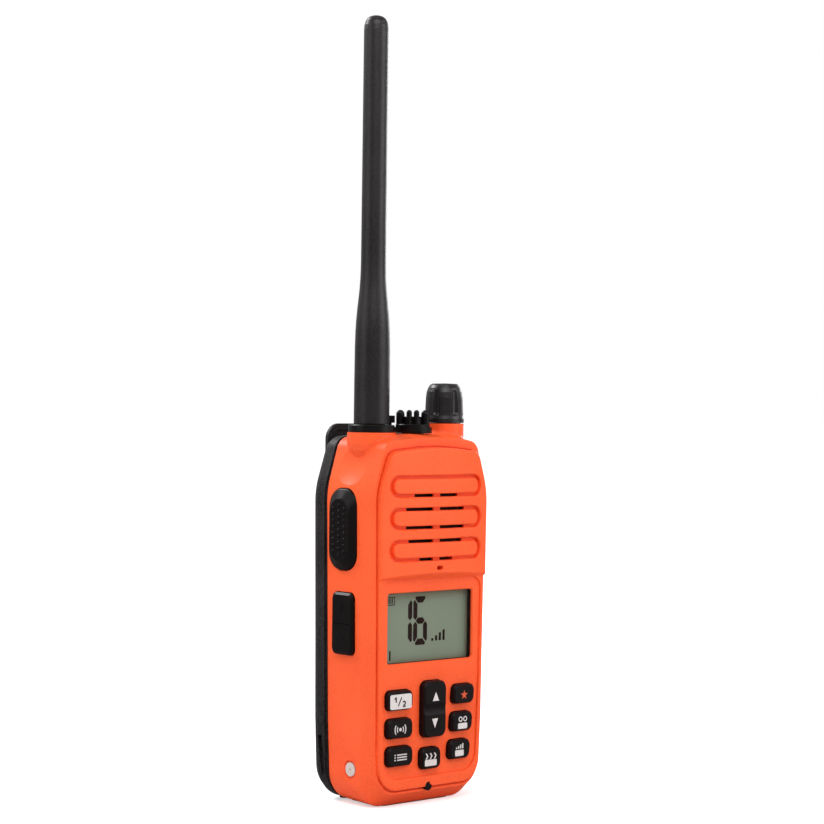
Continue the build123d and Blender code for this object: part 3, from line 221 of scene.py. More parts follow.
class Effects:
    """The surface effects that the finishes share, each built once."""

    GRAIN_ROUGHNESS = 0.6          # share of the finer octaves in the grain
    PEBBLE_SMOOTHNESS = 0.6        # how far neighbouring pebbles melt together
    PEBBLE_SCALE = 0.7             # fineness of the pebbles against the noise
    PEBBLE_SHARE = 0.6             # height of the pebbles against the noise
    SPECKLE_SPAN = (0.35, 0.72)    # noise over which a speckle comes up
    DRIFT_SPAN = (0.3, 0.7)        # noise over which the tone drifts
    DRIFT_SHARE = 0.5              # most that the slow drift shows of the second colour
    HANDLING_DETAIL = 3.0          # octaves of the handling marks
    NOISE_MIDDLE = 0.5             # mean of a noise

    def __init__(self) -> None:
        """Build the groups."""
        self.grain = self._grain()
        self.drift = self._drift()
        self.handling = self._handling()

    def _grain(self) -> SharedGroup:
        """Fine pebbled grain of a spark-eroded mould: a height and a speckle mask.

        Returns:
            The group.
        """
        group = SharedGroup(
            "mould_grain",
            {"Scale": ("NodeSocketFloat", 3000.0)},
            {"Height": "NodeSocketFloat", "Speckle": "NodeSocketFloat"},
        )
        graph = group.graph
        place = graph.own_place()
        scale = group.source.outputs["Scale"]
        noise = graph.noise(place, scale)
        noise.inputs["Roughness"].default_value = self.GRAIN_ROUGHNESS
        pebble = graph.add("ShaderNodeTexVoronoi", feature="SMOOTH_F1")
        pebble.inputs["Smoothness"].default_value = self.PEBBLE_SMOOTHNESS
        graph.link(place, pebble.inputs["Vector"])
        graph.link(graph.math("MULTIPLY", scale, self.PEBBLE_SCALE), pebble.inputs["Scale"])
        pebbles = graph.math("MULTIPLY", pebble.outputs["Distance"], self.PEBBLE_SHARE)
        graph.link(graph.math("SUBTRACT", noise.outputs["Fac"], pebbles), group.result.inputs["Height"])
        graph.link(graph.ramp(noise.outputs["Fac"], *self.SPECKLE_SPAN), group.result.inputs["Speckle"])
        return group

    def _drift(self) -> SharedGroup:
        """Slow change of tone over a moulding, with a faint speckle.

        Returns:
            The group.
        """
        group = SharedGroup(
            "tone_drift",
            {
                "Colour": ("NodeSocketColor", (0.5, 0.5, 0.5, 1.0)),
                "Second": ("NodeSocketColor", (0.6, 0.6, 0.6, 1.0)),
                "Scale": ("NodeSocketFloat", 40.0),
                "Speckle": ("NodeSocketFloat", 0.0),
                "Speckle Amount": ("NodeSocketFloat", 0.0),
            },
            {"Colour": "NodeSocketColor"},
        )
        graph = group.graph
        given = group.source.outputs
        noise = graph.noise(graph.own_place(), given["Scale"])
        slow = graph.math("MULTIPLY", graph.ramp(noise.outputs["Fac"], *self.DRIFT_SPAN), self.DRIFT_SHARE)
        fine = graph.math("MULTIPLY", given["Speckle"], given["Speckle Amount"])
        share = graph.add("ShaderNodeClamp")
        graph.link(graph.math("ADD", slow, fine), share.inputs["Value"])
        mixed = graph.mix(share.outputs["Result"], given["Colour"], given["Second"])
        graph.link(mixed, group.result.inputs["Colour"])
        return group

    def _handling(self) -> SharedGroup:
        """Roughness that changes a little where a surface has been handled.

        Returns:
            The group.
        """
        group = SharedGroup(
            "handling",
            {
                "Roughness": ("NodeSocketFloat", 0.5),
                "Spread": ("NodeSocketFloat", 0.06),
                "Scale": ("NodeSocketFloat", 90.0),
            },
            {"Roughness": "NodeSocketFloat"},
        )
        graph = group.graph
        given = group.source.outputs
        noise = graph.noise(graph.own_place(), given["Scale"], self.HANDLING_DETAIL)
        centred = graph.math("SUBTRACT", noise.outputs["Fac"], self.NOISE_MIDDLE)
        moved = graph.math("MULTIPLY", centred, given["Spread"])
        graph.link(graph.math("ADD", moved, given["Roughness"]), group.result.inputs["Roughness"])
        return group


EFFECTS = Effects()


# ------------------------------------------------------------------ finishes
def rgba(colour: Colour) -> tuple[float, float, float, float]:
    """A colour with full opacity."""
    return (*colour, 1.0)


def new_material(name: str) -> tuple[bpy.types.Material, Graph, bpy.types.Node]:
    """Start a material.

    Args:
        name: name of the material.

    Returns:
        The material, its graph and its main shader.
    """
    material = bpy.data.materials.new(name)
    material.use_nodes = True
    graph = Graph(material.node_tree)
    return material, graph, material.node_tree.nodes["Principled BSDF"]


def add_handling(graph: Graph, shader: bpy.types.Node, **values: float) -> None:
    """Vary a shader's roughness with the shared handling effect.

    Args:
        graph: the material's graph.
        shader: its main shader.
        **values: the effect's socket values.
    """
    gloss = EFFECTS.handling.place(graph, **values)
    graph.link(gloss.outputs["Roughness"], shader.inputs["Roughness"])


def add_tone(
    graph: Graph, shader: bpy.types.Node, speckle: Socket, colour: Colour, second: Colour, **values: float
) -> None:
    """Vary a shader's colour with the shared drift effect.

    Args:
        graph: the material's graph.
        shader: its main shader.
        speckle: mask of the speckle that shows the second colour.
        colour: main colour, linear.
        second: colour that it drifts towards.
        **values: the effect's other socket values.
    """
    tone = EFFECTS.drift.place(graph, Colour=rgba(colour), Second=rgba(second), **values)
    graph.link(speckle, tone.inputs["Speckle"])
    graph.link(tone.outputs["Colour"], shader.inputs["Base Color"])


def add_relief(graph: Graph, shader: bpy.types.Node, height: Socket, depth: float) -> None:
    """Let a height tilt the light on a surface.

    Args:
        graph: the material's graph.
        shader: its main shader.
        height: the height, from 0 to 1.
        depth: how deep that is, in metres.
    """
    bump = graph.add("ShaderNodeBump")
    bump.inputs["Distance"].default_value = depth
    graph.link(height, bump.inputs["Height"])
    graph.link(bump.outputs["Normal"], shader.inputs["Normal"])


@dataclass(frozen=True)
class Moulding:
    """Moulded plastic or rubber with a fine grain.

    Attributes:
        name: name of the material.
        colour: main colour, linear.
        second: colour that it drifts towards.
        roughness: middle roughness.
        spread: how far the roughness varies.
        specular: strength of the reflection.
        grain_scale: fineness of the grain, per metre.
        grain_depth: depth of the grain, in metres.
        speckle: how much the grain shows in the colour.
    """

    name: str
    colour: Colour
    second: Colour
    roughness: float
    spread: float = 0.08
    specular: float = 0.5
    grain_scale: float = 3200.0
    grain_depth: float = 0.03 * MM
    speckle: float = 0.0

    def build(self) -> bpy.types.Material:
        """Make the material.

        Returns:
            The material.
        """
        material, graph, shader = new_material(self.name)
        grain = EFFECTS.grain.place(graph, Scale=self.grain_scale).outputs
        add_tone(graph, shader, grain["Speckle"], self.colour, self.second, Speckle_Amount=self.speckle)
        add_handling(graph, shader, Roughness=self.roughness, Spread=self.spread)
        add_relief(graph, shader, grain["Height"], self.grain_depth)
        shader.inputs["Specular IOR Level"].default_value = self.specular
        return material


@dataclass(frozen=True)
class Metal:
    """Plain or plated metal with fine turning or drawing lines.

    Attributes:
        name: name of the material.
        colour: colour, linear.
        roughness: middle roughness.
        line_scale: fineness of the lines along each axis, per metre.
        metallic: how far it reflects like bare metal; lower where it is blasted.
        shade: the darker tone, as a share of the colour.
        tone_scale: fineness of the change of tone, per metre.
        line_tint: how much the lines show in the colour.
        spread: how far the roughness varies.
        handling_scale: fineness of the handling marks, per metre.
        line_depth: depth of the lines, in metres.
    """

    name: str
    colour: Colour
    roughness: float
    line_scale: Point3 = (400.0, 400.0, 6000.0)
    metallic: float = 1.0
    shade: float = 0.86
    tone_scale: float = 300.0
    line_tint: float = 0.4
    spread: float = 0.12
    handling_scale: float = 400.0
    line_depth: float = 0.004 * MM

    def build(self) -> bpy.types.Material:
        """Make the material.

        Returns:
            The material.
        """
        material, graph, shader = new_material(self.name)
        stretch = graph.add("ShaderNodeMapping")
        stretch.inputs["Scale"].default_value = self.line_scale
        graph.link(graph.own_place(), stretch.inputs["Vector"])
        lines = graph.noise(stretch.outputs["Vector"], 1.0).outputs["Fac"]
        darker = tuple(self.shade * part for part in self.colour)
        add_tone(
            graph, shader, lines, self.colour, darker, Scale=self.tone_scale, Speckle_Amount=self.line_tint
        )
        add_handling(graph, shader, Roughness=self.roughness, Spread=self.spread, Scale=self.handling_scale)
        add_relief(graph, shader, lines, self.line_depth)
        shader.inputs["Metallic"].default_value = self.metallic
        return material


@dataclass(frozen=True)
class Print:
    """Printed ink: flat, with a slightly uneven lay-down.

    Attributes:
        name: name of the material.
        colour: ink colour, linear.
        thin: colour where the ink is thin.
        roughness: middle roughness.
        specular: strength of the reflection.
        grain_scale: fineness of the grain under the ink, per metre.
        tone_scale: fineness of the uneven lay-down, per metre.
        speckle: how much the grain shows in the colour.
        spread: how far the roughness varies.
        handling_scale: fineness of the handling marks, per metre.
    """

    name: str
    colour: Colour
    thin: Colour
    roughness: float = 0.55
    specular: float = 0.3
    grain_scale: float = 5000.0
    tone_scale: float = 900.0
    speckle: float = 0.25
    spread: float = 0.1
    handling_scale: float = 500.0

    def build(self) -> bpy.types.Material:
        """Make the material.

        Returns:
            The material.
        """
        material, graph, shader = new_material(self.name)
        speckle = EFFECTS.grain.place(graph, Scale=self.grain_scale).outputs["Speckle"]
        add_tone(
            graph, shader, speckle, self.colour, self.thin, Scale=self.tone_scale, Speckle_Amount=self.speckle
        )
        add_handling(graph, shader, Roughness=self.roughness, Spread=self.spread, Scale=self.handling_scale)
        shader.inputs["Specular IOR Level"].default_value = self.specular
        return material


@dataclass(frozen=True)
class Lens:
    """Clear window: a mirror that is stronger at a grazing angle, over the panel that shows through.

    Attributes:
        name: name of the material.
        tint: colour of the reflection, linear.
        ior: refractive index of the plastic.
        coating: share of the reflection that the coating leaves.
        roughness: middle roughness.
        spread: how far the roughness varies.
        handling_scale: fineness of the handling marks, per metre.
    """

    name: str
    tint: Colour
    ior: float = 1.49
    coating: float = 0.3
    roughness: float = 0.07
    spread: float = 0.05
    handling_scale: float = 150.0

    def build(self) -> bpy.types.Material:
        """Make the material.

        Returns:
            The material.
        """
        material, graph, shader = new_material(self.name)
        shader.inputs["Base Color"].default_value = rgba(self.tint)
        shader.inputs["Metallic"].default_value = 1.0
        add_handling(graph, shader, Roughness=self.roughness, Spread=self.spread, Scale=self.handling_scale)
        grazing = graph.add("ShaderNodeFresnel")
        grazing.inputs["IOR"].default_value = self.ior
        facing = graph.add("ShaderNodeNewGeometry")
        outside = graph.math("SUBTRACT", 1.0, facing.outputs["Backfacing"])
        mirror = graph.math("MULTIPLY", grazing.outputs["Fac"], self.coating)
        graph.link(graph.math("MULTIPLY", mirror, outside), shader.inputs["Alpha"])
        return material


@dataclass(frozen=True)
class LiquidCrystal:
    """Reflective grey-green display, with painted shade that darkens it towards the frame, where the opening's
    shadow falls.

    Attributes:
        name: name of the material.
        colour: colour in the middle, linear.
        edge: colour of the painted shade close to the frame, linear.
        middle: centre of the display, x and z in metres.
        half: half width and half height of the lit area, in metres.
        side_fade: where the painted shade at the sides starts and ends, in metres from their edge.
        upper_fade: the same at the upper edge.
        lower_fade: the same at the lower edge.
        cloud_scale: fineness of the cloudiness, per metre.
        cloud_share: strength of the cloudiness.
        roughness: roughness of the sheet.
        specular: strength of the reflection.
    """

    name: str
    colour: Colour
    edge: Colour
    middle: Point2
    half: Point2
    side_fade: Point2 = (-1.2 * MM, 1.0 * MM)
    upper_fade: Point2 = (-4.5 * MM, 1.2 * MM)
    lower_fade: Point2 = (-1.8 * MM, 0.8 * MM)
    cloud_scale: float = 120.0
    cloud_share: float = 0.12
    roughness: float = 0.5
    specular: float = 0.2

    def shade(self, graph: Graph, place: Socket) -> Socket:
        """Mask of the painted shade, which rises towards the display's edges.

        Args:
            graph: the material's graph.
            place: the point in the display's own space.

        Returns:
            The mask.
        """
        split = graph.add("ShaderNodeSeparateXYZ")
        graph.link(place, split.inputs["Vector"])
        across = graph.math("ABSOLUTE", graph.math("SUBTRACT", split.outputs["X"], self.middle[0]), 0.0)
        above = graph.math("SUBTRACT", split.outputs["Z"], self.middle[1])
        below = graph.math("MULTIPLY", above, -1.0)
        masks = []
        for distance, half, fade in (
            (across, self.half[0], self.side_fade),
            (above, self.half[1], self.upper_fade),
            (below, self.half[1], self.lower_fade),
        ):
            masks.append(graph.ramp(distance, half + fade[0], half + fade[1]))
        sides, upper, lower = masks
        return graph.math("MAXIMUM", sides, graph.math("MAXIMUM", upper, lower))

    def build(self) -> bpy.types.Material:
        """Make the material.

        Returns:
            The material.
        """
        material, graph, shader = new_material(self.name)
        place = graph.own_place()
        cloud = graph.noise(place, self.cloud_scale)
        clouds = graph.math("MULTIPLY", cloud.outputs["Fac"], self.cloud_share)
        share = graph.math("ADD", self.shade(graph, place), clouds)
        # painted shade: the edge colour darkens the display towards its frame
        graph.link(graph.mix(share, rgba(self.colour), rgba(self.edge)), shader.inputs["Base Color"])
        shader.inputs["Roughness"].default_value = self.roughness
        shader.inputs["Specular IOR Level"].default_value = self.specular
        return material


@dataclass(frozen=True)
class CircuitBoard:
    """Green board with copper tracks under the varnish.

    Attributes:
        name: name of the material.
        varnish: colour over bare board, linear.
        track: colour over copper, linear.
        cell_scale: fineness of the tracks, per metre.
        track_span: distance from a track's middle over which it ends, as a share of a cell.
        roughness: middle roughness.
        spread: how far the roughness varies.
    """

    name: str
    varnish: Colour
    track: Colour
    cell_scale: float = 350.0
    track_span: Point2 = (0.05, 0.12)
    roughness: float = 0.35
    spread: float = 0.1

    def build(self) -> bpy.types.Material:
        """Make the material.

        Returns:
            The material.
        """
        material, graph, shader = new_material(self.name)
        cells = graph.add("ShaderNodeTexVoronoi", feature="DISTANCE_TO_EDGE", distance="MANHATTAN")
        cells.inputs["Scale"].default_value = self.cell_scale
        graph.link(graph.own_place(), cells.inputs["Vector"])
        off_track = graph.ramp(cells.outputs["Distance"], *self.track_span)
        graph.link(graph.mix(off_track, rgba(self.track), rgba(self.varnish)), shader.inputs["Base Color"])
        add_handling(graph, shader, Roughness=self.roughness, Spread=self.spread)
        return material


Finish = Moulding | Metal | Print | Lens | LiquidCrystal | CircuitBoard


class Slot(Enum):
    """The record's material slots."""

    ORANGE_SHELL = "orange_shell"
    BLACK_SHELL = "black_shell"
    SOFT_BLACK = "soft_black"
    KEY_RUBBER = "key_rubber"
    SEAL_RUBBER = "seal_rubber"
    LENS = "lens"
    LCD = "lcd"
    CIRCUIT_BOARD = "circuit_board"
    STEEL = "steel"
    NICKEL = "nickel"
    BRASS = "brass"
    GOLD_CONTACT = "gold_contact"
    SPEAKER_METAL = "speaker_metal"
    CELL_WRAP = "cell_wrap"


DISPLAY_MIDDLE = (0.0, 66.95)      # middle of the display, x and z in millimetres
DISPLAY_HALF = (21.6, 13.15)       # half width and half height of its opening, in millimetres


def metres(pair: Point2) -> Point2:
    """A pair of lengths in millimetres, turned into metres."""
    return (pair[0] * MM, pair[1] * MM)


FINISHES: dict[Slot, Finish] = {
    Slot.ORANGE_SHELL: Moulding("orange_shell_satin", (0.87, 0.09, 0.019), (0.97, 0.116, 0.029), 0.42,
                                specular=0.22, grain_scale=1700.0, grain_depth=0.018 * MM, speckle=0.9),
    Slot.BLACK_SHELL: Moulding("black_shell_grained", (0.0015, 0.0006, 0.0008), (0.027, 0.0232, 0.0245), 0.5,
                               specular=0.22, grain_scale=1500.0, grain_depth=0.07 * MM, speckle=0.9),
    Slot.SOFT_BLACK: Moulding("soft_black_matte", (0.002, 0.0008, 0.0011), (0.0138, 0.0104, 0.0114), 0.42,
                              specular=0.4, grain_scale=1600.0, grain_depth=0.04 * MM, speckle=0.9),
    Slot.KEY_RUBBER: Moulding("key_silicone", (0.0055, 0.0032, 0.0036), (0.0075, 0.005, 0.0054), 0.5,
                              specular=0.15, grain_scale=4500.0, grain_depth=0.015 * MM, speckle=0.3),
    Slot.SEAL_RUBBER: Moulding("seal_rubber", (0.006, 0.006, 0.006), (0.01, 0.01, 0.01), 0.7, specular=0.2),
    Slot.SPEAKER_METAL: Moulding("speaker_basket", (0.01, 0.01, 0.011), (0.02, 0.02, 0.02), 0.5),
    Slot.CELL_WRAP: Moulding("cell_wrap_blue", (0.02, 0.06, 0.2), (0.03, 0.08, 0.25), 0.3),
    Slot.STEEL: Metal("steel_drawn", (0.56, 0.55, 0.54), 0.35),
    Slot.NICKEL: Metal("nickel_satin", (0.74, 0.65, 0.61), 0.42, (500.0, 500.0, 500.0), 0.25),
    Slot.BRASS: Metal("brass_turned", (0.72, 0.5, 0.2), 0.3),
    Slot.GOLD_CONTACT: Metal("gold_contact", (0.86, 0.6, 0.24), 0.22),
    Slot.LENS: Lens("display_lens", (0.9, 0.93, 0.9)),
    # the LCD's second colour is painted shade towards the display's frame
    Slot.LCD: LiquidCrystal("display_crystal", (0.178, 0.216, 0.16), (0.19, 0.16, 0.095),
                            metres(DISPLAY_MIDDLE), metres(DISPLAY_HALF)),
    Slot.CIRCUIT_BOARD: CircuitBoard("board_green", (0.012, 0.09, 0.03), (0.05, 0.2, 0.08)),
}

KNOB_RUBBER = Moulding("knob_rubber", (0.0022, 0.001, 0.0013), (0.0125, 0.0094, 0.0102), 0.36,
                       specular=0.45, grain_scale=1800.0, grain_depth=0.03 * MM, speckle=0.8)
TALK_RUBBER = Moulding("talk_bar_rubber", (0.0035, 0.0018, 0.002), (0.0055, 0.0034, 0.0038), 0.34,
                       specular=0.16, grain_scale=5200.0, grain_depth=0.012 * MM, speckle=0.3)
SMOOTH_BLACK = Moulding("smooth_black_fittings", (0.0035, 0.0022, 0.0024), (0.0055, 0.0038, 0.004), 0.36,
                        specular=0.2, grain_scale=5200.0, grain_depth=0.01 * MM, speckle=0.2)
WHITE_INK = Print("legend_white", (0.68, 0.64, 0.63), (0.57, 0.53, 0.52))
DARK_INK = Print("legend_dark", (0.006, 0.006, 0.007), (0.012, 0.012, 0.013))
ORANGE_INK = Print("legend_orange", (0.62, 0.09, 0.028), (0.5, 0.065, 0.02))
BRASS_MARK = Print("contact_punch_mark", (0.32, 0.2, 0.13), (0.25, 0.15, 0.1))
SEGMENT_INK = Print("display_segment", (0.012, 0.004, 0.003), (0.022, 0.008, 0.006), 0.6, 0.05)


class Workshop:
    """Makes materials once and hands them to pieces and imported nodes."""

    def __init__(self) -> None:
        """Start with no materials made."""
        self.made: dict[str, bpy.types.Material] = {}

    def material(self, finish: Finish) -> bpy.types.Material:
        """The material of a finish, made at its first use.

        Args:
            finish: the finish.

        Returns:
            The material.
        """
        if finish.name not in self.made:
            self.made[finish.name] = finish.build()
        return self.made[finish.name]

    def dress_node(self, name: str, slot: Slot, finish: Finish | None = None) -> None:
        """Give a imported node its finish.

        Args:
            name: name of the node.
            slot: the node's slot in the record.
            finish: a finish of its own, where the slot's usual one doesn't fit.
        """
        chosen = finish or FINISHES[slot]
        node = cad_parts[name]
        node.data.materials.clear()
        node.data.materials.append(self.material(chosen))
        LOG.info("node %s: %s", name, chosen.name)

    def dress_nodes(self, slots: dict[str, Slot], finish: Finish | None = None) -> None:
        """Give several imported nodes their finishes.

        Args:
            slots: name of each node to its slot.
            finish: a finish of their own, where the slots' usual ones don't fit.
        """
        for name, slot in slots.items():
            self.dress_node(name, slot, finish)

    def dress_piece(self, piece: bpy.types.Object, finish: Finish, body: str, slot: Slot) -> None:
        """Give a new piece its finish and body.

        Args:
            piece: the new object, in the row frame.
            finish: its finish.
            body: the body that it moves with.
            slot: not used.
        """
        piece.data.materials.clear()
        piece.data.materials.append(self.material(finish))
        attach(piece, body)
        LOG.info("piece %s on %s: %s", piece.name, body, finish.name)


# ------------------------------------------------------------------ outlines and meshes
def polar(centre: Point2, reach: float, angle: float) -> Point2:
    """The point at a distance from a centre, at an angle in radians."""
    return (centre[0] + reach * math.cos(angle), centre[1] + reach * math.sin(angle))


def rounded_box(centre: Point2, width: float, height: float, radius: float, steps: int = 5) -> Outline:
    """Outline of a rounded rectangle.

    Args:
        centre: its middle.
        width: full width.
        height: full height.
        radius: corner radius.
        steps: segments in each corner.

    Returns:
        Points in order.
    """
    points = []
    for quarter, (sx, sz) in enumerate(((1, 1), (-1, 1), (-1, -1), (1, -1))):
        corner = (centre[0] + sx * (width / 2 - radius), centre[1] + sz * (height / 2 - radius))
        points += [polar(corner, radius, math.pi / 2 * (quarter + k / steps)) for k in range(steps + 1)]
    return points


def circle(centre: Point2, radius: float, steps: int = 32) -> Outline:
    """Outline of a circle.

    Args:
        centre: its middle.
        radius: its radius.
        steps: points round it.

    Returns:
        Points in order.
    """
    return [polar(centre, radius, 2 * math.pi / steps * k) for k in range(steps)]


def stroke(start: Point2, end: Point2, width: float) -> Outline:
    """Outline of a straight stroke between two points.

    Args:
        start: middle of its first end.
        end: middle of its last end.
        width: its width.

    Returns:
        Points in order.
    """
    ax, az = start
    bx, bz = end
    length = math.hypot(bx - ax, bz - az)
    nx = -(bz - az) / length * width / 2
    nz = (bx - ax) / length * width / 2
    return [(ax + nx, az + nz), (ax - nx, az - nz), (bx - nx, bz - nz), (bx + nx, bz + nz)]


def shifted(outline: Outline, offset: Point2) -> Outline:
    """An outline moved by an offset."""
    return [(x + offset[0], z + offset[1]) for x, z in outline]


def plus_sign(centre: Point2, reach: float, width: float) -> Outline:
    """Outline of a plus sign.

    Args:
        centre: its middle.
        reach: length of an arm, from the middle.
        width: width of an arm.

    Returns:
        Points in order.
    """
    half = width / 2
    points = []
    for sx, sz in ((1, 1), (1, -1), (-1, -1), (-1, 1)):
        arm = [(sx * half, sz * reach), (sx * half, sz * half), (sx * reach, sz * half)]
        points += arm if sx == sz else arm[::-1]
    return shifted(points, centre)


def arc_band(centre: Point2, radius: float, width: float, start: float, end: float, steps: int = 12) -> Outline:
    """Outline of a bent stroke.

    Args:
        centre: centre of the bend.
        radius: radius of its middle line.
        width: width of the stroke.
        start: first angle in degrees.
        end: last angle in degrees.
        steps: segments along it.

    Returns:
        Points in order.
    """
    angles = [math.radians(start + (end - start) * k / steps) for k in range(steps + 1)]
    outer = [polar(centre, radius + width / 2, angle) for angle in angles]
    inner = [polar(centre, radius - width / 2, angle) for angle in reversed(angles)]
    return outer + inner


def star(radius: float, waist: float = 0.42) -> Outline:
    """Outline of a plain five-pointed star about the origin.

    Args:
        radius: reach of its points.
        waist: reach of the notches between them, as a share of the radius.

    Returns:
        Points in order.
    """
    reaches = (radius, radius * waist) * 5
    return [polar(ORIGIN, reach, math.pi / 2 + k * math.pi / 5) for k, reach in enumerate(reaches)]


class Face(Enum):
    """The side of the radio that a flat mark lies on, as the mark's right, up and outward directions."""

    FRONT = ((1, 0, 0), (0, 0, 1), (0, -1, 0))
    LEFT = ((0, -1, 0), (0, 0, 1), (-1, 0, 0))
    RIGHT = ((0, 1, 0), (0, 0, 1), (1, 0, 0))
    BELOW = ((1, 0, 0), (0, -1, 0), (0, 0, -1))

    def matrix(self, depth: float) -> Matrix:
        """Placement of a mark.

        Args:
            depth: where the face lies along its outward direction, in metres.

        Returns:
            The matrix from the mark's plane to the row frame.
        """
        right, up, out = (Vector(part) for part in self.value)
        turn = Matrix((right, up, out)).transposed().to_4x4()
        return Matrix.Translation(out * depth) @ turn


def add_object(name: str, data: bpy.types.ID) -> bpy.types.Object:
    """Put a mesh, curve, lamp or camera in the scene as an object.

    Args:
        name: name of the object.
        data: what it shows.

    Returns:
        The object.
    """
    item = bpy.data.objects.new(name, data)
    bpy.context.scene.collection.objects.link(item)
    return item


def behind_keypad(depths: Point2) -> Point2:
    """Front and back depths behind the keypad face, as distances along the front's outward direction.

    Args:
        depths: the depths, in millimetres.

    Returns:
        The distances, in metres.
    """
    front, back = depths
    return (-(front + KEYPAD_PLANE_Y) * MM, -(back + KEYPAD_PLANE_Y) * MM)


def flat_mark(
    name: str, outlines: list[Outline], face: Face, depth: float, thickness: float
) -> bpy.types.Object:
    """Thin raised mark from outlines in millimetres; an outline inside another is a hole.

    Args:
        name: name of the piece.
        outlines: closed outlines.
        face: side that the mark lies on.
        depth: where that side's surface lies along its outward direction, in metres.
        thickness: how far the mark stands out, in metres.

    Returns:
        The new mesh object, in the row frame.
    """
    curve = bpy.data.curves.new(name, "CURVE")
    curve.dimensions = "2D"
    curve.fill_mode = "BOTH"
    curve.extrude = thickness / 2
    for outline in outlines:
        spline = curve.splines.new("POLY")
        spline.points.add(len(outline) - 1)
        for point, (x, z) in zip(spline.points, outline):
            point.co = (x * MM, z * MM, 0.0, 1.0)
        spline.use_cyclic_u = True
    drawn = add_object(name + "_outline", curve)
    evaluated = drawn.evaluated_get(bpy.context.evaluated_depsgraph_get())
    mesh = bpy.data.meshes.new_from_object(evaluated)
    bpy.data.objects.remove(drawn)
    bpy.data.curves.remove(curve)
    mesh.transform(face.matrix(depth + thickness / 2))
    mesh.name = name
    return add_object(name, mesh)


def face_depth(node: str, face: Face) -> float:
    """How far a node reaches along a face's outward direction.

    Args:
        node: name of the node.
        face: the side of the radio.

    Returns:
        The distance from the origin, in metres.
    """
    low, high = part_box(node)
    out = Vector(face.value[2])
    return max(low.dot(out), high.dot(out))


def face_middle(node: str, face: Face) -> Point2:
    """Middle of a node, as one side of the radio shows it.

    Args:
        node: name of the node.
        face: the side of the radio.

    Returns:
        Its places along the side's right and up directions, in millimetres.
    """
    low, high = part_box(node)
    middle = (low + high) / 2 / MM
    right, up, _ = (Vector(part) for part in face.value)
    return (middle.dot(right), middle.dot(up))


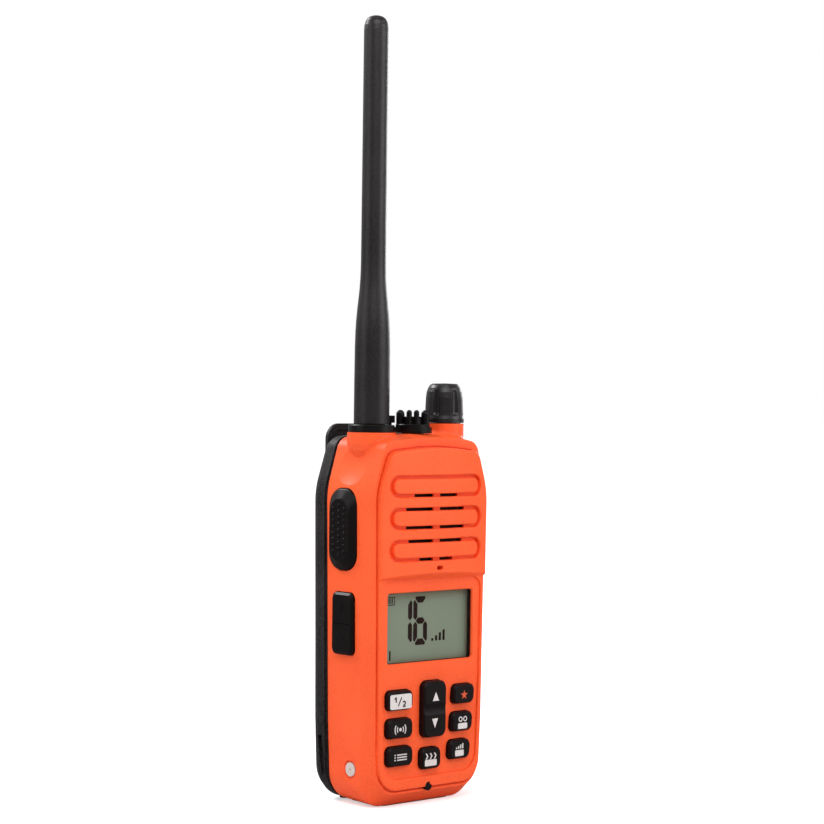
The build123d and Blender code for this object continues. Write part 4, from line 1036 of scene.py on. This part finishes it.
# ------------------------------------------------------------------ sub-assemblies
@dataclass
class Display:
    """Liquid crystal panel behind its lens, with the segments that are lit.

    Attributes:
        shop: maker of finishes.
        digit_left: left edge of the right-hand digit.
        digit_size: width and height of a digit.
        digit_base: height of the digits' lower edge.
        digit_gap: space between the digits.
        bar: thickness of upright and level segments.
        gap: gap between segments.
        corner: how far a level segment's end slopes in, as a share of an upright's thickness.
        corner_bend: share of that slope at the bend in it.
        upright_inset: distance of an upright segment's far end from the digit's edge.
        near_slope: length of the slope at an upright segment's near end.
        far_slopes: lengths of the slopes at its far end, outside and inside.
        level_corner: middle of the first signal bar's base.
        level_pitch: distance between signal bars.
        level_size: width and height of the first signal bar; each next is one height taller.
        level_radius: corner radius of a signal bar.
        power_marks: x of the two strokes in the lower corner.
        power_span: lower and upper end of those strokes.
        power_width: width of those strokes.
        cell_middle: middle of the battery symbol.
        cell_sizes: outer and inner size of its frame.
        cell_radii: corner radii of both.
        charge_first: x of its first charge bar.
        charge_pitch: distance between charge bars.
        charge_size: width and height of a charge bar.
        ink: thickness of the segments.
        fit: space between the lip and the opening, over both sides.
        seal: thickness of the sealing lip.
        seal_radii: corner radii of the lip, outside and inside.
        seal_depth: front and back edge of the lip, behind the keypad face.
    """

    shop: Workshop
    digit_left: float = -6.0
    digit_size: Point2 = (7.1, 18.3)
    digit_base: float = 59.8
    digit_gap: float = 0.6
    bar: Point2 = (2.05, 2.4)
    gap: float = 0.28
    corner: float = 0.62
    corner_bend: float = 0.75
    upright_inset: float = 1.2
    near_slope: float = 1.1
    far_slopes: Point2 = (0.8, 1.7)
    level_corner: Point2 = (3.9, 60.9)
    level_pitch: float = 1.95
    level_size: Point2 = (1.15, 1.0)
    level_radius: float = 0.12
    power_marks: Point2 = (-20.4, -17.6)
    power_span: Point2 = (54.7, 58.4)
    power_width: float = 0.75
    cell_middle: Point2 = (-18.2, 76.9)
    cell_sizes: tuple[Point2, Point2] = ((5.7, 3.2), (5.0, 2.5))
    cell_radii: Point2 = (0.5, 0.3)
    charge_first: float = -20.1
    charge_pitch: float = 1.12
    charge_size: Point2 = (0.62, 2.0)
    ink: float = 0.03
    fit: float = 0.04
    seal: float = 0.1
    seal_radii: Point2 = (1.05, 0.97)
    seal_depth: Point2 = (1.05, 2.66)

    def segment(self, key: str, left: float) -> Outline:
        """Outline of one segment of a digit.

        Args:
            key: segment letter, a to g.
            left: left edge of the digit.

        Returns:
            Points in order.
        """
        if key in "ad":
            return self.end_segment(key == "a", left)
        if key == "g":
            return self.middle_segment(left)
        return self.upright_segment(key in "ef", key in "bf", left)

    def end_segment(self, at_top: bool, left: float) -> Outline:
        """Outline of a digit's top or bottom segment.

        Args:
            at_top: whether it is the top one.
            left: left edge of the digit.

        Returns:
            Points in order.
        """
        width, height = self.digit_size
        thick_x, thick_z = self.bar
        right = left + width
        edge = self.digit_base + (height if at_top else 0.0)
        inner = edge - thick_z if at_top else edge + thick_z
        bend = (edge * 2 + inner) / 3
        side = thick_x * self.corner
        low = thick_x + self.gap
        return [
            (left + side, edge), (right - side, edge), (right - side * self.corner_bend, bend),
            (right - low, inner), (left + low, inner), (left + side * self.corner_bend, bend),
        ]

    def middle_segment(self, left: float) -> Outline:
        """Outline of a digit's middle segment.

        Args:
            left: left edge of the digit.

        Returns:
            Points in order.
        """
        thick_x, thick_z = self.bar
        right = left + self.digit_size[0]
        middle = self.digit_base + self.digit_size[1] / 2
        side = thick_x * self.corner
        low = thick_x + self.gap
        return [
            (left + low, middle + thick_z / 2), (right - low, middle + thick_z / 2), (right - side, middle),
            (right - low, middle - thick_z / 2), (left + low, middle - thick_z / 2), (left + side, middle),
        ]

    def upright_segment(self, at_left: bool, upper: bool, left: float) -> Outline:
        """Outline of an upright segment of a digit.

        Args:
            at_left: whether it stands on the digit's left.
            upper: whether it is in the upper half.
            left: left edge of the digit.

        Returns:
            Points in order.
        """
        width, height = self.digit_size
        low_x = left if at_left else left + width - self.bar[0]
        high_x = low_x + self.bar[0]
        inner, outer = (high_x, low_x) if at_left else (low_x, high_x)
        away = 1.0 if upper else -1.0
        near = self.digit_base + height / 2 + away * self.gap
        end = self.digit_base + (height if upper else 0.0)
        far = end - away * self.upright_inset
        outside, inside = self.far_slopes
        return [
            ((low_x + high_x) / 2, near),
            (outer, near + away * self.near_slope),
            (outer, far - away * outside),
            ((outer * 2 + inner) / 3, far),
            (inner, far - away * inside),
            (inner, near + away * self.near_slope),
        ]

    def lit(self) -> list[Outline]:
        """Outlines of every segment and symbol that is lit.

        Returns:
            The outlines.
        """
        tens_left = self.digit_left - self.digit_size[0] - self.digit_gap
        shapes = [self.segment(key, tens_left) for key in "bc"]
        shapes += [self.segment(key, self.digit_left) for key in "afgedc"]
        shapes += self.level_bars() + self.battery_symbol()
        low, high = self.power_span
        shapes += [stroke((x, low), (x, high), self.power_width) for x in self.power_marks]
        return shapes

    def level_bars(self) -> list[Outline]:
        """Outlines of four signal bars of rising height.

        Returns:
            The outlines.
        """
        x, z = self.level_corner
        width, height = self.level_size
        shapes = []
        for k in range(4):
            tall = height * (k + 1)
            shapes.append(rounded_box((x + self.level_pitch * k, z + tall / 2), width, tall, self.level_radius))
        return shapes

    def battery_symbol(self) -> list[Outline]:
        """Outlines of a plain battery symbol with its charge bars.

        Returns:
            The outlines.
        """
        shapes = []
        for (width, height), radius in zip(self.cell_sizes, self.cell_radii):
            shapes.append(rounded_box(self.cell_middle, width, height, radius))
        z = self.cell_middle[1]
        width, height = self.charge_size
        for k in range(4):
            x = self.charge_first + self.charge_pitch * k
            shapes.append(stroke((x, z - height / 2), (x, z + height / 2), width))
        return shapes

    def window_seal(self) -> bpy.types.Object:
        """Black sealing lip in the gap between the lens and the opening.

        Returns:
            The lip, in the row frame.
        """
        rings = []
        for inset, radius in zip((0.0, 2 * self.seal), self.seal_radii):
            width, height = (2 * part - self.fit - inset for part in DISPLAY_HALF)
            rings.append(rounded_box(DISPLAY_MIDDLE, width, height, radius))
        front, back = behind_keypad(self.seal_depth)
        return flat_mark("window_seal", rings, Face.FRONT, back, front - back)

    def build(self) -> None:
        """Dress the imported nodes, draw the lit segments and fit the sealing lip."""
        self.shop.dress_node("display_panel", Slot.LCD)
        self.shop.dress_node("display_window", Slot.LENS)
        self.shop.dress_node("display_frame", Slot.BLACK_SHELL)
        depth = face_depth("display_panel", Face.FRONT)
        mark = flat_mark("display_segments", self.lit(), Face.FRONT, depth, self.ink * MM)
        self.shop.dress_piece(mark, SEGMENT_INK, "radio", Slot.LCD)
        self.shop.dress_piece(self.window_seal(), SMOOTH_BLACK, "radio", Slot.SEAL_RUBBER)


@dataclass
class Legend:
    """What is printed on one key; its places count from the key's middle.

    Attributes:
        node: the key's node.
        body: the body that it moves with.
        sign: outlines of the sign, about its own middle.
        place: where that middle lies.
        ink: ink of the sign; dark ink lies on a plate.
        plate: outline printed first, or none.
    """

    node: str
    body: str
    sign: list[Outline]
    place: Point2
    ink: Print = WHITE_INK
    plate: Outline | None = None


@dataclass
class Keypad:
    """Silicone keys with plain printed signs.

    Attributes:
        shop: maker of finishes.
        ink: thickness of a layer of ink.
        line: width of a plain stroke.
        bold: width of the strokes on the light plate.
        plate_radius: corner radius of a small plate.
    """

    shop: Workshop
    ink: float = 0.03
    line: float = 0.42
    bold: float = 0.55
    plate_radius: float = 0.45

    def small_plate(self, x: float, z: float, width: float, height: float) -> Outline:
        """Outline of the plate under a sign.

        Args:
            x: how far right of the key's middle it is.
            z: how far above the key's middle it is.
            width: its width.
            height: its height.

        Returns:
            Points in order.
        """
        return rounded_box((x, z), width, height, self.plate_radius)

    def legends(self) -> list[Legend]:
        """Every key's print.

        Returns:
            The prints, from the upper left key to the rocker.
        """
        return [
            Legend("key_priority", "key_priority", self.fraction_sign(), (-0.6, -0.35), DARK_INK,
                   rounded_box((-0.15, -0.35), 10.7, 5.5, 0.8)),
            Legend("key_call", "key_call", self.wave_sign(), (-0.3, -0.25)),
            Legend("key_menu", "key_menu", self.list_sign(), (-0.3, -0.2)),
            Legend("key_favourite", "key_favourite", [star(1.9)], (-0.2, -0.4), ORANGE_INK),
            Legend("key_dual_watch", "key_dual_watch", self.twin_sign(), (0.0, 0.95),
                   plate=self.small_plate(-0.1, -1.65, 4.8, 2.2)),
            Legend("key_power_level", "key_power_level", self.level_sign(), (-0.4, 1.2),
                   plate=self.small_plate(-0.5, -1.4, 4.5, 2.3)),
            Legend("key_scan", "key_scan", self.chevron_sign(), (-0.4, 0.9),
                   plate=self.small_plate(-0.5, -1.6, 6.0, 2.4)),
            Legend("channel_key", "channel_rocker", self.channel_signs(), (0.0, 0.0)),
        ]

    def fraction_sign(self) -> list[Outline]:
        """A one, a slash and a two, drawn with plain strokes.

        Returns:
            The outlines.
        """
        one = [(-1.7, -0.2), (-1.7, 1.8), (-2.2, 1.8), (-2.9, 1.2), (-2.65, 0.85), (-2.3, 1.1), (-2.3, -0.2)]
        slash_width = 0.5
        return [
            one,
            stroke((-0.95, -1.6), (0.75, 1.6), slash_width),
            arc_band((2.0, -0.62), 0.6, self.bold, 160.0, -40.0),
            stroke((2.44, -1.04), (1.65, -1.5), self.bold),
            stroke((1.25, -1.85), (2.8, -1.85), slash_width),
        ]

    def wave_sign(self) -> list[Outline]:
        """A dot with two waves on each side.

        Returns:
            The outlines.
        """
        dot, first, pitch, sweep, half_turn = 0.62, 1.55, 1.15, 38.0, 180.0
        shapes = [circle(ORIGIN, dot)]
        for k in range(2):
            for facing in (0.0, half_turn):
                band = arc_band(ORIGIN, first + pitch * k, self.line, facing - sweep, facing + sweep)
                shapes.append(band)
        return shapes

    def list_sign(self) -> list[Outline]:
        """Three level lines with a dot before each.

        Returns:
            The outlines.
        """
        pitch, start, end, dot_place, dot, dot_facets = 0.95, -1.7, 3.2, -2.7, 0.3, 12
        shapes = []
        for level in (-pitch, 0.0, pitch):
            shapes.append(stroke((start, level), (end, level), self.line))
            shapes.append(circle((dot_place, level), dot, dot_facets))
        return shapes

    def twin_sign(self) -> list[Outline]:
        """Two rings side by side.

        Returns:
            The outlines.
        """
        offset, outer, inner = 1.2, 1.02, 0.6
        return [circle((place, 0.0), radius) for place in (-offset, offset) for radius in (outer, inner)]

    def level_sign(self) -> list[Outline]:
        """Four bars of rising height.

        Returns:
            The outlines.
        """
        first, pitch, foot, top, rise, width = -1.6, 1.07, -0.95, -0.4, 0.46, 0.6
        shapes = []
        for k in range(4):
            across = first + pitch * k
            shapes.append(stroke((across, foot), (across, top + rise * k), width))
        return shapes

    def chevron_sign(self) -> list[Outline]:
        """Three arrow heads in a row.

        Returns:
            The outlines.
        """
        pitch, tip, half, back, notch, nose = 2.1, 0.7, 1.1, 1.4, 0.65, 0.75
        head = [(tip - back, half), (tip - nose, half), (tip, 0.0), (tip - nose, -half),
                (tip - back, -half), (tip - notch, 0.0)]
        return [shifted(head, (place, 0.0)) for place in (-pitch, 0.0, pitch)]

    def channel_signs(self) -> list[Outline]:
        """A triangle that points up above the rocker's middle, and one that points down below it.

        Returns:
            The outlines.
        """
        upper = [(-1.6, 3.1), (1.55, 3.1), (-0.02, 6.5)]
        lower = [(-1.85, -3.5), (1.15, -3.5), (-0.35, -7.0)]
        return [upper, lower]

    def build(self) -> None:
        """Dress the keys and print their signs."""
        self.shop.dress_node("keypad_mat", Slot.KEY_RUBBER)
        self.shop.dress_node("key_board", Slot.CIRCUIT_BOARD)
        layer = self.ink * MM
        for legend in self.legends():
            self.shop.dress_node(legend.node, Slot.KEY_RUBBER)
            depth = face_depth(legend.node, Face.FRONT)
            middle = face_middle(legend.node, Face.FRONT)
            name = legend.node.replace("key_", "") + "_legend"
            if legend.plate:
                plate = flat_mark(name + "_plate", [shifted(legend.plate, middle)], Face.FRONT, depth, layer)
                self.shop.dress_piece(plate, WHITE_INK, legend.body, Slot.KEY_RUBBER)
            if legend.ink is DARK_INK:
                depth += layer
            outlines = [shifted(shifted(outline, legend.place), middle) for outline in legend.sign]
            sign = flat_mark(name, outlines, Face.FRONT, depth, layer)
            self.shop.dress_piece(sign, legend.ink, legend.body, Slot.KEY_RUBBER)


@dataclass
class SideControls:
    """Talk bar with its grip pad, and the rocker below it.

    Attributes:
        shop: maker of finishes.
        pad_offset: how far behind and above the bar's middle the pad's middle is.
        dot_rows: rows of grip dots.
        dot_pitch: distance between dots, across and along the bar.
        dot_radius: radius of a dot.
        dot_height: how far a dot stands out.
        dot_facets: segments round a dot and from pole to pole of its ball.
        sign_offsets: how far above the rocker's middle the plus and the minus are.
        sign_size: width of a sign.
        sign_stroke: width of a sign's strokes.
        sign_height: how far a sign stands out.
    """

    shop: Workshop
    pad_offset: Point2 = (0.15, -0.2)
    dot_rows: int = 8
    dot_pitch: Point2 = (3.0, 2.3)
    dot_radius: float = 0.62
    dot_height: float = 0.34
    dot_facets: tuple[int, int] = (14, 8)
    sign_offsets: Point2 = (6.1, -6.0)
    sign_size: float = 3.0
    sign_stroke: float = 0.5
    sign_height: float = 0.18

    def grip_dots(self) -> bpy.types.Object:
        """Low domes in three staggered columns on the talk bar.

        Returns:
            One mesh with every dot.
        """
        surface = face_depth("ptt_button", Face.LEFT)
        ahead, height = face_middle("ptt_button", Face.LEFT)
        around, along = self.dot_facets
        squash = Matrix.Diagonal((self.dot_height * MM, self.dot_radius * MM, self.dot_radius * MM, 1.0))
        build = bmesh.new()
        for column in (-1, 0, 1):
            rows = self.dot_rows if column else self.dot_rows + 1
            for row in range(rows):
                y = self.pad_offset[0] - ahead + column * self.dot_pitch[0]
                z = self.pad_offset[1] + height + (row - (rows - 1) / 2) * self.dot_pitch[1]
                dome = bmesh.ops.create_uvsphere(build, u_segments=around, v_segments=along, radius=1.0)
                place = Matrix.Translation(Vector((-surface, y * MM, z * MM)))
                bmesh.ops.transform(build, matrix=place @ squash, verts=dome["verts"])
        mesh = bpy.data.meshes.new("talk_bar_grip")
        build.to_mesh(mesh)
        build.free()
        for polygon in mesh.polygons:
            polygon.use_smooth = True
        return add_object("talk_bar_grip", mesh)

    def rocker_signs(self) -> list[Outline]:
        """A plus above and a minus below, drawn across the depth and height of the rocker.

        Returns:
            The outlines.
        """
        across, height = face_middle("side_key", Face.LEFT)
        high, low = (height + offset for offset in self.sign_offsets)
        reach = self.sign_size / 2
        plus = plus_sign((across, high), reach, self.sign_stroke)
        minus = stroke((across - reach, low), (across + reach, low), self.sign_stroke)
        return [plus, minus]

    def build(self) -> None:
        """Dress the nodes and add the grip and signs."""
        for node in ("ptt_button", "side_key"):
            self.shop.dress_node(node, Slot.SOFT_BLACK, TALK_RUBBER)
        for node in ("ptt_switch", "side_switches"):
            self.shop.dress_node(node, Slot.BLACK_SHELL)
        for node in ("ptt_membrane", "side_key_membrane"):
            self.shop.dress_node(node, Slot.SEAL_RUBBER)
        self.shop.dress_piece(self.grip_dots(), TALK_RUBBER, "talk_bar", Slot.SOFT_BLACK)
        depth = face_depth("side_key", Face.LEFT)
        signs = flat_mark("side_key_signs", self.rocker_signs(), Face.LEFT, depth, self.sign_height * MM)
        self.shop.dress_piece(signs, TALK_RUBBER, "side_rocker", Slot.SOFT_BLACK)


@dataclass
class Housing:
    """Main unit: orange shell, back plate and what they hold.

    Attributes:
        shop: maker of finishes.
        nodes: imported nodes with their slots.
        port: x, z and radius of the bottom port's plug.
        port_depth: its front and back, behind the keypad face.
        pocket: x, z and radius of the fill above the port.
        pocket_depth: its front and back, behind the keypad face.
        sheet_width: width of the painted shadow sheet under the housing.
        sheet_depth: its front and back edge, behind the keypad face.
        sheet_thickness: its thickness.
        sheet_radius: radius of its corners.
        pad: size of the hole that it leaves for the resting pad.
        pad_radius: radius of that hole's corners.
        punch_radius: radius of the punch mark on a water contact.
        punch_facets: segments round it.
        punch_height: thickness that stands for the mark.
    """

    shop: Workshop
    nodes: dict[str, Slot] = field(default_factory=lambda: {
        "front_housing": Slot.ORANGE_SHELL,
        "rear_chassis": Slot.BLACK_SHELL,
        "chassis_gasket": Slot.SEAL_RUBBER,
        "chassis_screws": Slot.STEEL,
        "battery_contacts": Slot.GOLD_CONTACT,
        "main_board": Slot.CIRCUIT_BOARD,
        "rf_shield": Slot.STEEL,
        "speaker": Slot.SPEAKER_METAL,
        "speaker_membrane": Slot.SEAL_RUBBER,
        "microphone": Slot.STEEL,
        "vent_membrane": Slot.SEAL_RUBBER,
        "water_contact_left": Slot.NICKEL,
        "water_contact_right": Slot.NICKEL,
    })
    port: Point3 = (-0.9, 7.0, 1.68)
    port_depth: Point2 = (-0.72, 2.6)
    pocket: Point3 = (0.6, 8.3, 0.88)
    pocket_depth: Point2 = (-0.78, 1.08)
    sheet_width: float = 34.0
    sheet_depth: Point2 = (7.3, 25.6)
    sheet_thickness: float = 0.12
    sheet_radius: float = 2.0
    pad: Point2 = (29.2, 15.2)
    pad_radius: float = 0.3
    punch_radius: float = 0.3
    punch_facets: int = 16
    punch_height: float = 0.01

    def round_plug(self, name: str, place: Point3, depths: Point2) -> bpy.types.Object:
        """Round plug let into the housing's front.

        Args:
            name: name of the piece.
            place: its x, z and radius.
            depths: its front and back, behind the keypad face.

        Returns:
            The plug, in the row frame.
        """
        x, z, radius = place
        front, back = behind_keypad(depths)
        return flat_mark(name, [circle((x, z), radius)], Face.FRONT, back, front - back)

    def shadow_sheet(self) -> bpy.types.Object:
        """Thin black sheet round the resting pad, a painted shadow for the dark line under the housing's front
        edge.

        Returns:
            The sheet, in the row frame.
        """
        front, back = self.sheet_depth
        middle = (0.0, -(front + back) / 2 - KEYPAD_PLANE_Y)
        rings = [
            rounded_box(middle, self.sheet_width, back - front, self.sheet_radius),
            rounded_box(ORIGIN, *self.pad, self.pad_radius),
        ]
        thickness = self.sheet_thickness * MM
        return flat_mark("shadow_sheet", rings, Face.BELOW, -thickness, thickness)

    def punch_mark(self, node: str, face: Face) -> bpy.types.Object:
        """Centre punch mark on a water contact.

        Args:
            node: the contact's node.
            face: the side that it is on.

        Returns:
            The mark, in the row frame.
        """
        dot = circle(face_middle(node, face), self.punch_radius, self.punch_facets)
        return flat_mark(node + "_mark", [dot], face, face_depth(node, face), self.punch_height * MM)

    def build(self) -> None:
        """Dress the nodes and add the port's plug and fill, the painted shadow sheet and the contact marks."""
        self.shop.dress_nodes(self.nodes)
        plug = self.round_plug("port_plug", self.port, self.port_depth)
        self.shop.dress_piece(plug, SMOOTH_BLACK, "radio", Slot.SEAL_RUBBER)
        fill = self.round_plug("port_pocket_fill", self.pocket, self.pocket_depth)
        self.shop.dress_piece(fill, FINISHES[Slot.ORANGE_SHELL], "radio", Slot.ORANGE_SHELL)
        # painted shadow: a thin black sheet for the dark line under the front edge
        self.shop.dress_piece(self.shadow_sheet(), SMOOTH_BLACK, "radio", Slot.SEAL_RUBBER)
        for node, face in (("water_contact_left", Face.LEFT), ("water_contact_right", Face.RIGHT)):
            self.shop.dress_piece(self.punch_mark(node, face), BRASS_MARK, "radio", Slot.BRASS)


@dataclass
class TopFittings:
    """Antenna, volume knob and capped jack.

    Attributes:
        shop: maker of finishes.
        nodes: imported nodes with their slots.
        smooth: nodes that are smooth black mouldings, with their slots.
    """

    shop: Workshop
    nodes: dict[str, Slot] = field(default_factory=lambda: {
        "antenna_whip": Slot.SOFT_BLACK,
        "antenna_connector": Slot.BRASS,
        "antenna_oring": Slot.SEAL_RUBBER,
        "antenna_socket": Slot.BRASS,
        "volume_shaft": Slot.STEEL,
        "volume_control": Slot.STEEL,
        "knob_seal": Slot.SEAL_RUBBER,
        "accessory_jack": Slot.NICKEL,
    })
    smooth: dict[str, Slot] = field(default_factory=lambda: {
        "antenna_collar": Slot.BLACK_SHELL,
        "jack_cap": Slot.SOFT_BLACK,
        "jack_cap_tether": Slot.SOFT_BLACK,
    })

    def build(self) -> None:
        """Dress the nodes."""
        self.shop.dress_nodes(self.nodes)
        self.shop.dress_nodes(self.smooth, SMOOTH_BLACK)
        self.shop.dress_node("volume_knob", Slot.SOFT_BLACK, KNOB_RUBBER)


@dataclass
class BatteryPack:
    """Battery pack with its latch and belt clip.

    Attributes:
        shop: maker of finishes.
        nodes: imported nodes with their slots.
    """

    shop: Workshop
    nodes: dict[str, Slot] = field(default_factory=lambda: {
        "battery_case": Slot.BLACK_SHELL,
        "battery_cover": Slot.BLACK_SHELL,
        "battery_cells": Slot.CELL_WRAP,
        "battery_terminals": Slot.GOLD_CONTACT,
        "battery_latch": Slot.BLACK_SHELL,
        "clip_base": Slot.BLACK_SHELL,
        "clip_screws": Slot.STEEL,
        "clip_pin": Slot.STEEL,
        "clip_spring": Slot.STEEL,
        "clip_lever": Slot.BLACK_SHELL,
    })

    def build(self) -> None:
        """Dress the nodes."""
        self.shop.dress_nodes(self.nodes)


# ------------------------------------------------------------------ studio
@dataclass(frozen=True)
class Softbox:
    """A square area lamp.

    Attributes:
        name: name of the lamp.
        place: where it stands, in metres.
        size: width of its face, in metres.
        power: power in watts.
        in_gloss: whether glossy surfaces show it.
    """

    name: str
    place: Point3
    size: float
    power: float
    in_gloss: bool


@dataclass
class Studio:
    """Pale floor, soft lamps and the camera.

    Attributes:
        camera_place: where the camera stands, in metres.
        yaw: direction of view, in degrees from +Y towards +X.
        pitch: degrees below level.
        roll: degrees that the camera is turned about its view.
        focal_pixels: focal length in pixels of the frame.
        frame_pixels: width of the square frame.
        aim: what the lamps face.
        lamps: the lamps.
        ambient: level of the light from all round.
        gloss_front: level that gloss shows on the near side, where the backdrop ends.
        gloss_behind: level that gloss shows behind the object.
        floor_tone: grey of the floor as a source of bounced light.
        floor_in_gloss: share of that grey that glossy surfaces show.
        sensor: width of the camera's sensor, in millimetres.
        clip: nearest and farthest distance that the camera sees, in metres.
        behind_span: span, along the view's direction, over which gloss_front turns into gloss_behind.
        floor_reach: half width of the floor, in metres.
        floor_finish: roughness and reflection of the floor.
        shadow_span: distances from the object over which the painted shade on the floor lightens, in metres.
        shadow_lift: how bright the floor is to the eye close to the object.
    """

    camera_place: Point3 = (-564.5 * MM, -621.16 * MM, 149.6 * MM)
    yaw: float = 42.45
    pitch: float = 0.15
    roll: float = -0.704
    focal_pixels: float = 2200.0
    frame_pixels: float = 824.0
    aim: Point3 = (0.0, 0.0, 0.1)
    lamps: tuple[Softbox, ...] = (
        Softbox("key_softbox", (-0.3, -0.46, 0.7), 0.55, 3.9, True),
        Softbox("side_softbox", (-0.32, 0.03, 0.4), 0.3, 0.2, False),
        Softbox("top_softbox", (-0.28, 0.72, 0.82), 0.4, 7.5, True),
        Softbox("left_bank", (-0.98, 0.22, 0.44), 0.6, 2.0, True),
        Softbox("right_bank", (0.54, -0.83, 0.48), 0.7, 4.9, True),
        Softbox("rim_right_softbox", (0.95, 0.3, 0.35), 0.3, 2.0, True),
    )
    ambient: float = 0.25
    gloss_front: float = 0.2
    gloss_behind: float = 0.6
    floor_tone: float = 0.8
    floor_in_gloss: float = 0.3
    sensor: float = 36.0
    clip: Point2 = (0.01, 50.0)
    behind_span: Point2 = (0.1, 0.5)
    floor_reach: float = 12.0
    floor_finish: Point2 = (0.9, 0.1)
    shadow_span: Point2 = (0.1, 0.6)
    shadow_lift: float = 0.5

    def camera(self) -> None:
        """Make the camera."""
        data = bpy.data.cameras.new("studio_camera")
        data.sensor_width = self.sensor
        data.lens = self.focal_pixels / self.frame_pixels * self.sensor
        data.clip_start, data.clip_end = self.clip
        camera = add_object("studio_camera", data)
        yaw, pitch, roll = (math.radians(angle) for angle in (self.yaw, self.pitch, self.roll))
        ahead = Vector((math.sin(yaw) * math.cos(pitch), math.cos(yaw) * math.cos(pitch), -math.sin(pitch)))
        level = Vector((math.cos(yaw), -math.sin(yaw), 0.0))
        down = ahead.cross(level)
        right = math.cos(roll) * level + math.sin(roll) * down
        below = -math.sin(roll) * level + math.cos(roll) * down
        turn = Matrix((right, -below, -ahead)).transposed().to_4x4()
        camera.matrix_world = Matrix.Translation(self.camera_place) @ turn
        bpy.context.scene.camera = camera

    def light(self) -> None:
        """Make the lamps."""
        for lamp in self.lamps:
            data = bpy.data.lights.new(lamp.name, "AREA")
            data.shape = "SQUARE"
            data.size = lamp.size
            data.energy = lamp.power
            item = add_object(lamp.name, data)
            item.location = lamp.place
            item.visible_glossy = lamp.in_gloss
            item.rotation_mode = "QUATERNION"
            item.rotation_quaternion = (Vector(self.aim) - Vector(lamp.place)).to_track_quat("-Z", "Y")

    def surroundings(self) -> None:
        """White surroundings to the eye; to gloss a level that rises behind the object, and a lower level as
        light.
        """
        world = bpy.data.worlds.new("studio_world")
        bpy.context.scene.world = world
        world.use_nodes = True
        graph = Graph(world.node_tree)
        background = world.node_tree.nodes["Background"]
        background.inputs["Color"].default_value = (1.0, 1.0, 1.0, 1.0)
        path = graph.add("ShaderNodeLightPath")
        place = graph.add("ShaderNodeTexCoord")
        split = graph.add("ShaderNodeSeparateXYZ")
        graph.link(place.outputs["Generated"], split.inputs["Vector"])
        yaw = math.radians(self.yaw)
        sideways = graph.math("MULTIPLY", split.outputs["X"], math.sin(yaw))
        along = graph.math("ADD", sideways, graph.math("MULTIPLY", split.outputs["Y"], math.cos(yaw)))
        behind = graph.ramp(along, *self.behind_span)
        rise = graph.math("MULTIPLY", behind, self.gloss_behind - self.gloss_front)
        gloss = graph.math("MULTIPLY", graph.math("ADD", rise, self.gloss_front), path.outputs["Is Glossy Ray"])
        seen = graph.math("MAXIMUM", path.outputs["Is Camera Ray"], path.outputs["Is Transmission Ray"])
        level = graph.math("MAXIMUM", graph.math("MAXIMUM", seen, gloss), self.ambient)
        graph.link(level, background.inputs["Strength"])

    def floor(self) -> None:
        """A wide pale floor that keeps the contact shadow; its glow to the eye is weaker close to the object, a
        painted shade round it.
        """
        mesh = bpy.data.meshes.new("studio_floor")
        reach = self.floor_reach
        corners = [(-reach, -reach, 0.0), (reach, -reach, 0.0), (reach, reach, 0.0), (-reach, reach, 0.0)]
        mesh.from_pydata(corners, [], [(0, 1, 2, 3)])
        floor = add_object("studio_floor", mesh)
        material, graph, shader = new_material("studio_floor")
        roughness, specular = self.floor_finish
        shader.inputs["Roughness"].default_value = roughness
        shader.inputs["Specular IOR Level"].default_value = specular
        shader.inputs["Emission Color"].default_value = (1.0, 1.0, 1.0, 1.0)
        path = graph.add("ShaderNodeLightPath")
        hidden = self.floor_tone * (1.0 - self.floor_in_gloss)
        dimmed = graph.math("MULTIPLY", path.outputs["Is Glossy Ray"], hidden)
        tone = graph.add("ShaderNodeCombineColor")
        for channel in ("Red", "Green", "Blue"):
            graph.link(graph.math("SUBTRACT", self.floor_tone, dimmed), tone.inputs[channel])
        graph.link(tone.outputs["Color"], shader.inputs["Base Color"])
        where = graph.add("ShaderNodeNewGeometry")
        distance = graph.add("ShaderNodeVectorMath", operation="LENGTH")
        graph.link(where.outputs["Position"], distance.inputs[0])
        # painted shade: the floor's glow to the eye is weaker close to the object
        away = graph.ramp(distance.outputs["Value"], *self.shadow_span)
        lift = graph.math("ADD", graph.math("MULTIPLY", away, 1.0 - self.shadow_lift), self.shadow_lift)
        glow = graph.math("MULTIPLY", path.outputs["Is Camera Ray"], lift)
        graph.link(glow, shader.inputs["Emission Strength"])
        mesh.materials.append(material)

    def build(self) -> None:
        """Make the camera, lamps, surroundings and floor."""
        self.camera()
        self.light()
        self.surroundings()
        self.floor()
        bpy.context.scene.view_settings.view_transform = "Standard"


def main() -> None:
    """Build the studio and every sub-assembly in order."""
    logging.basicConfig(level=logging.INFO, format="%(name)s: %(message)s")
    Studio().build()
    shop = Workshop()
    for kind in (Housing, Display, Keypad, SideControls, TopFittings, BatteryPack):
        kind(shop).build()
        LOG.info("built %s", kind.__name__)


if __name__ == "__main__":
    main()
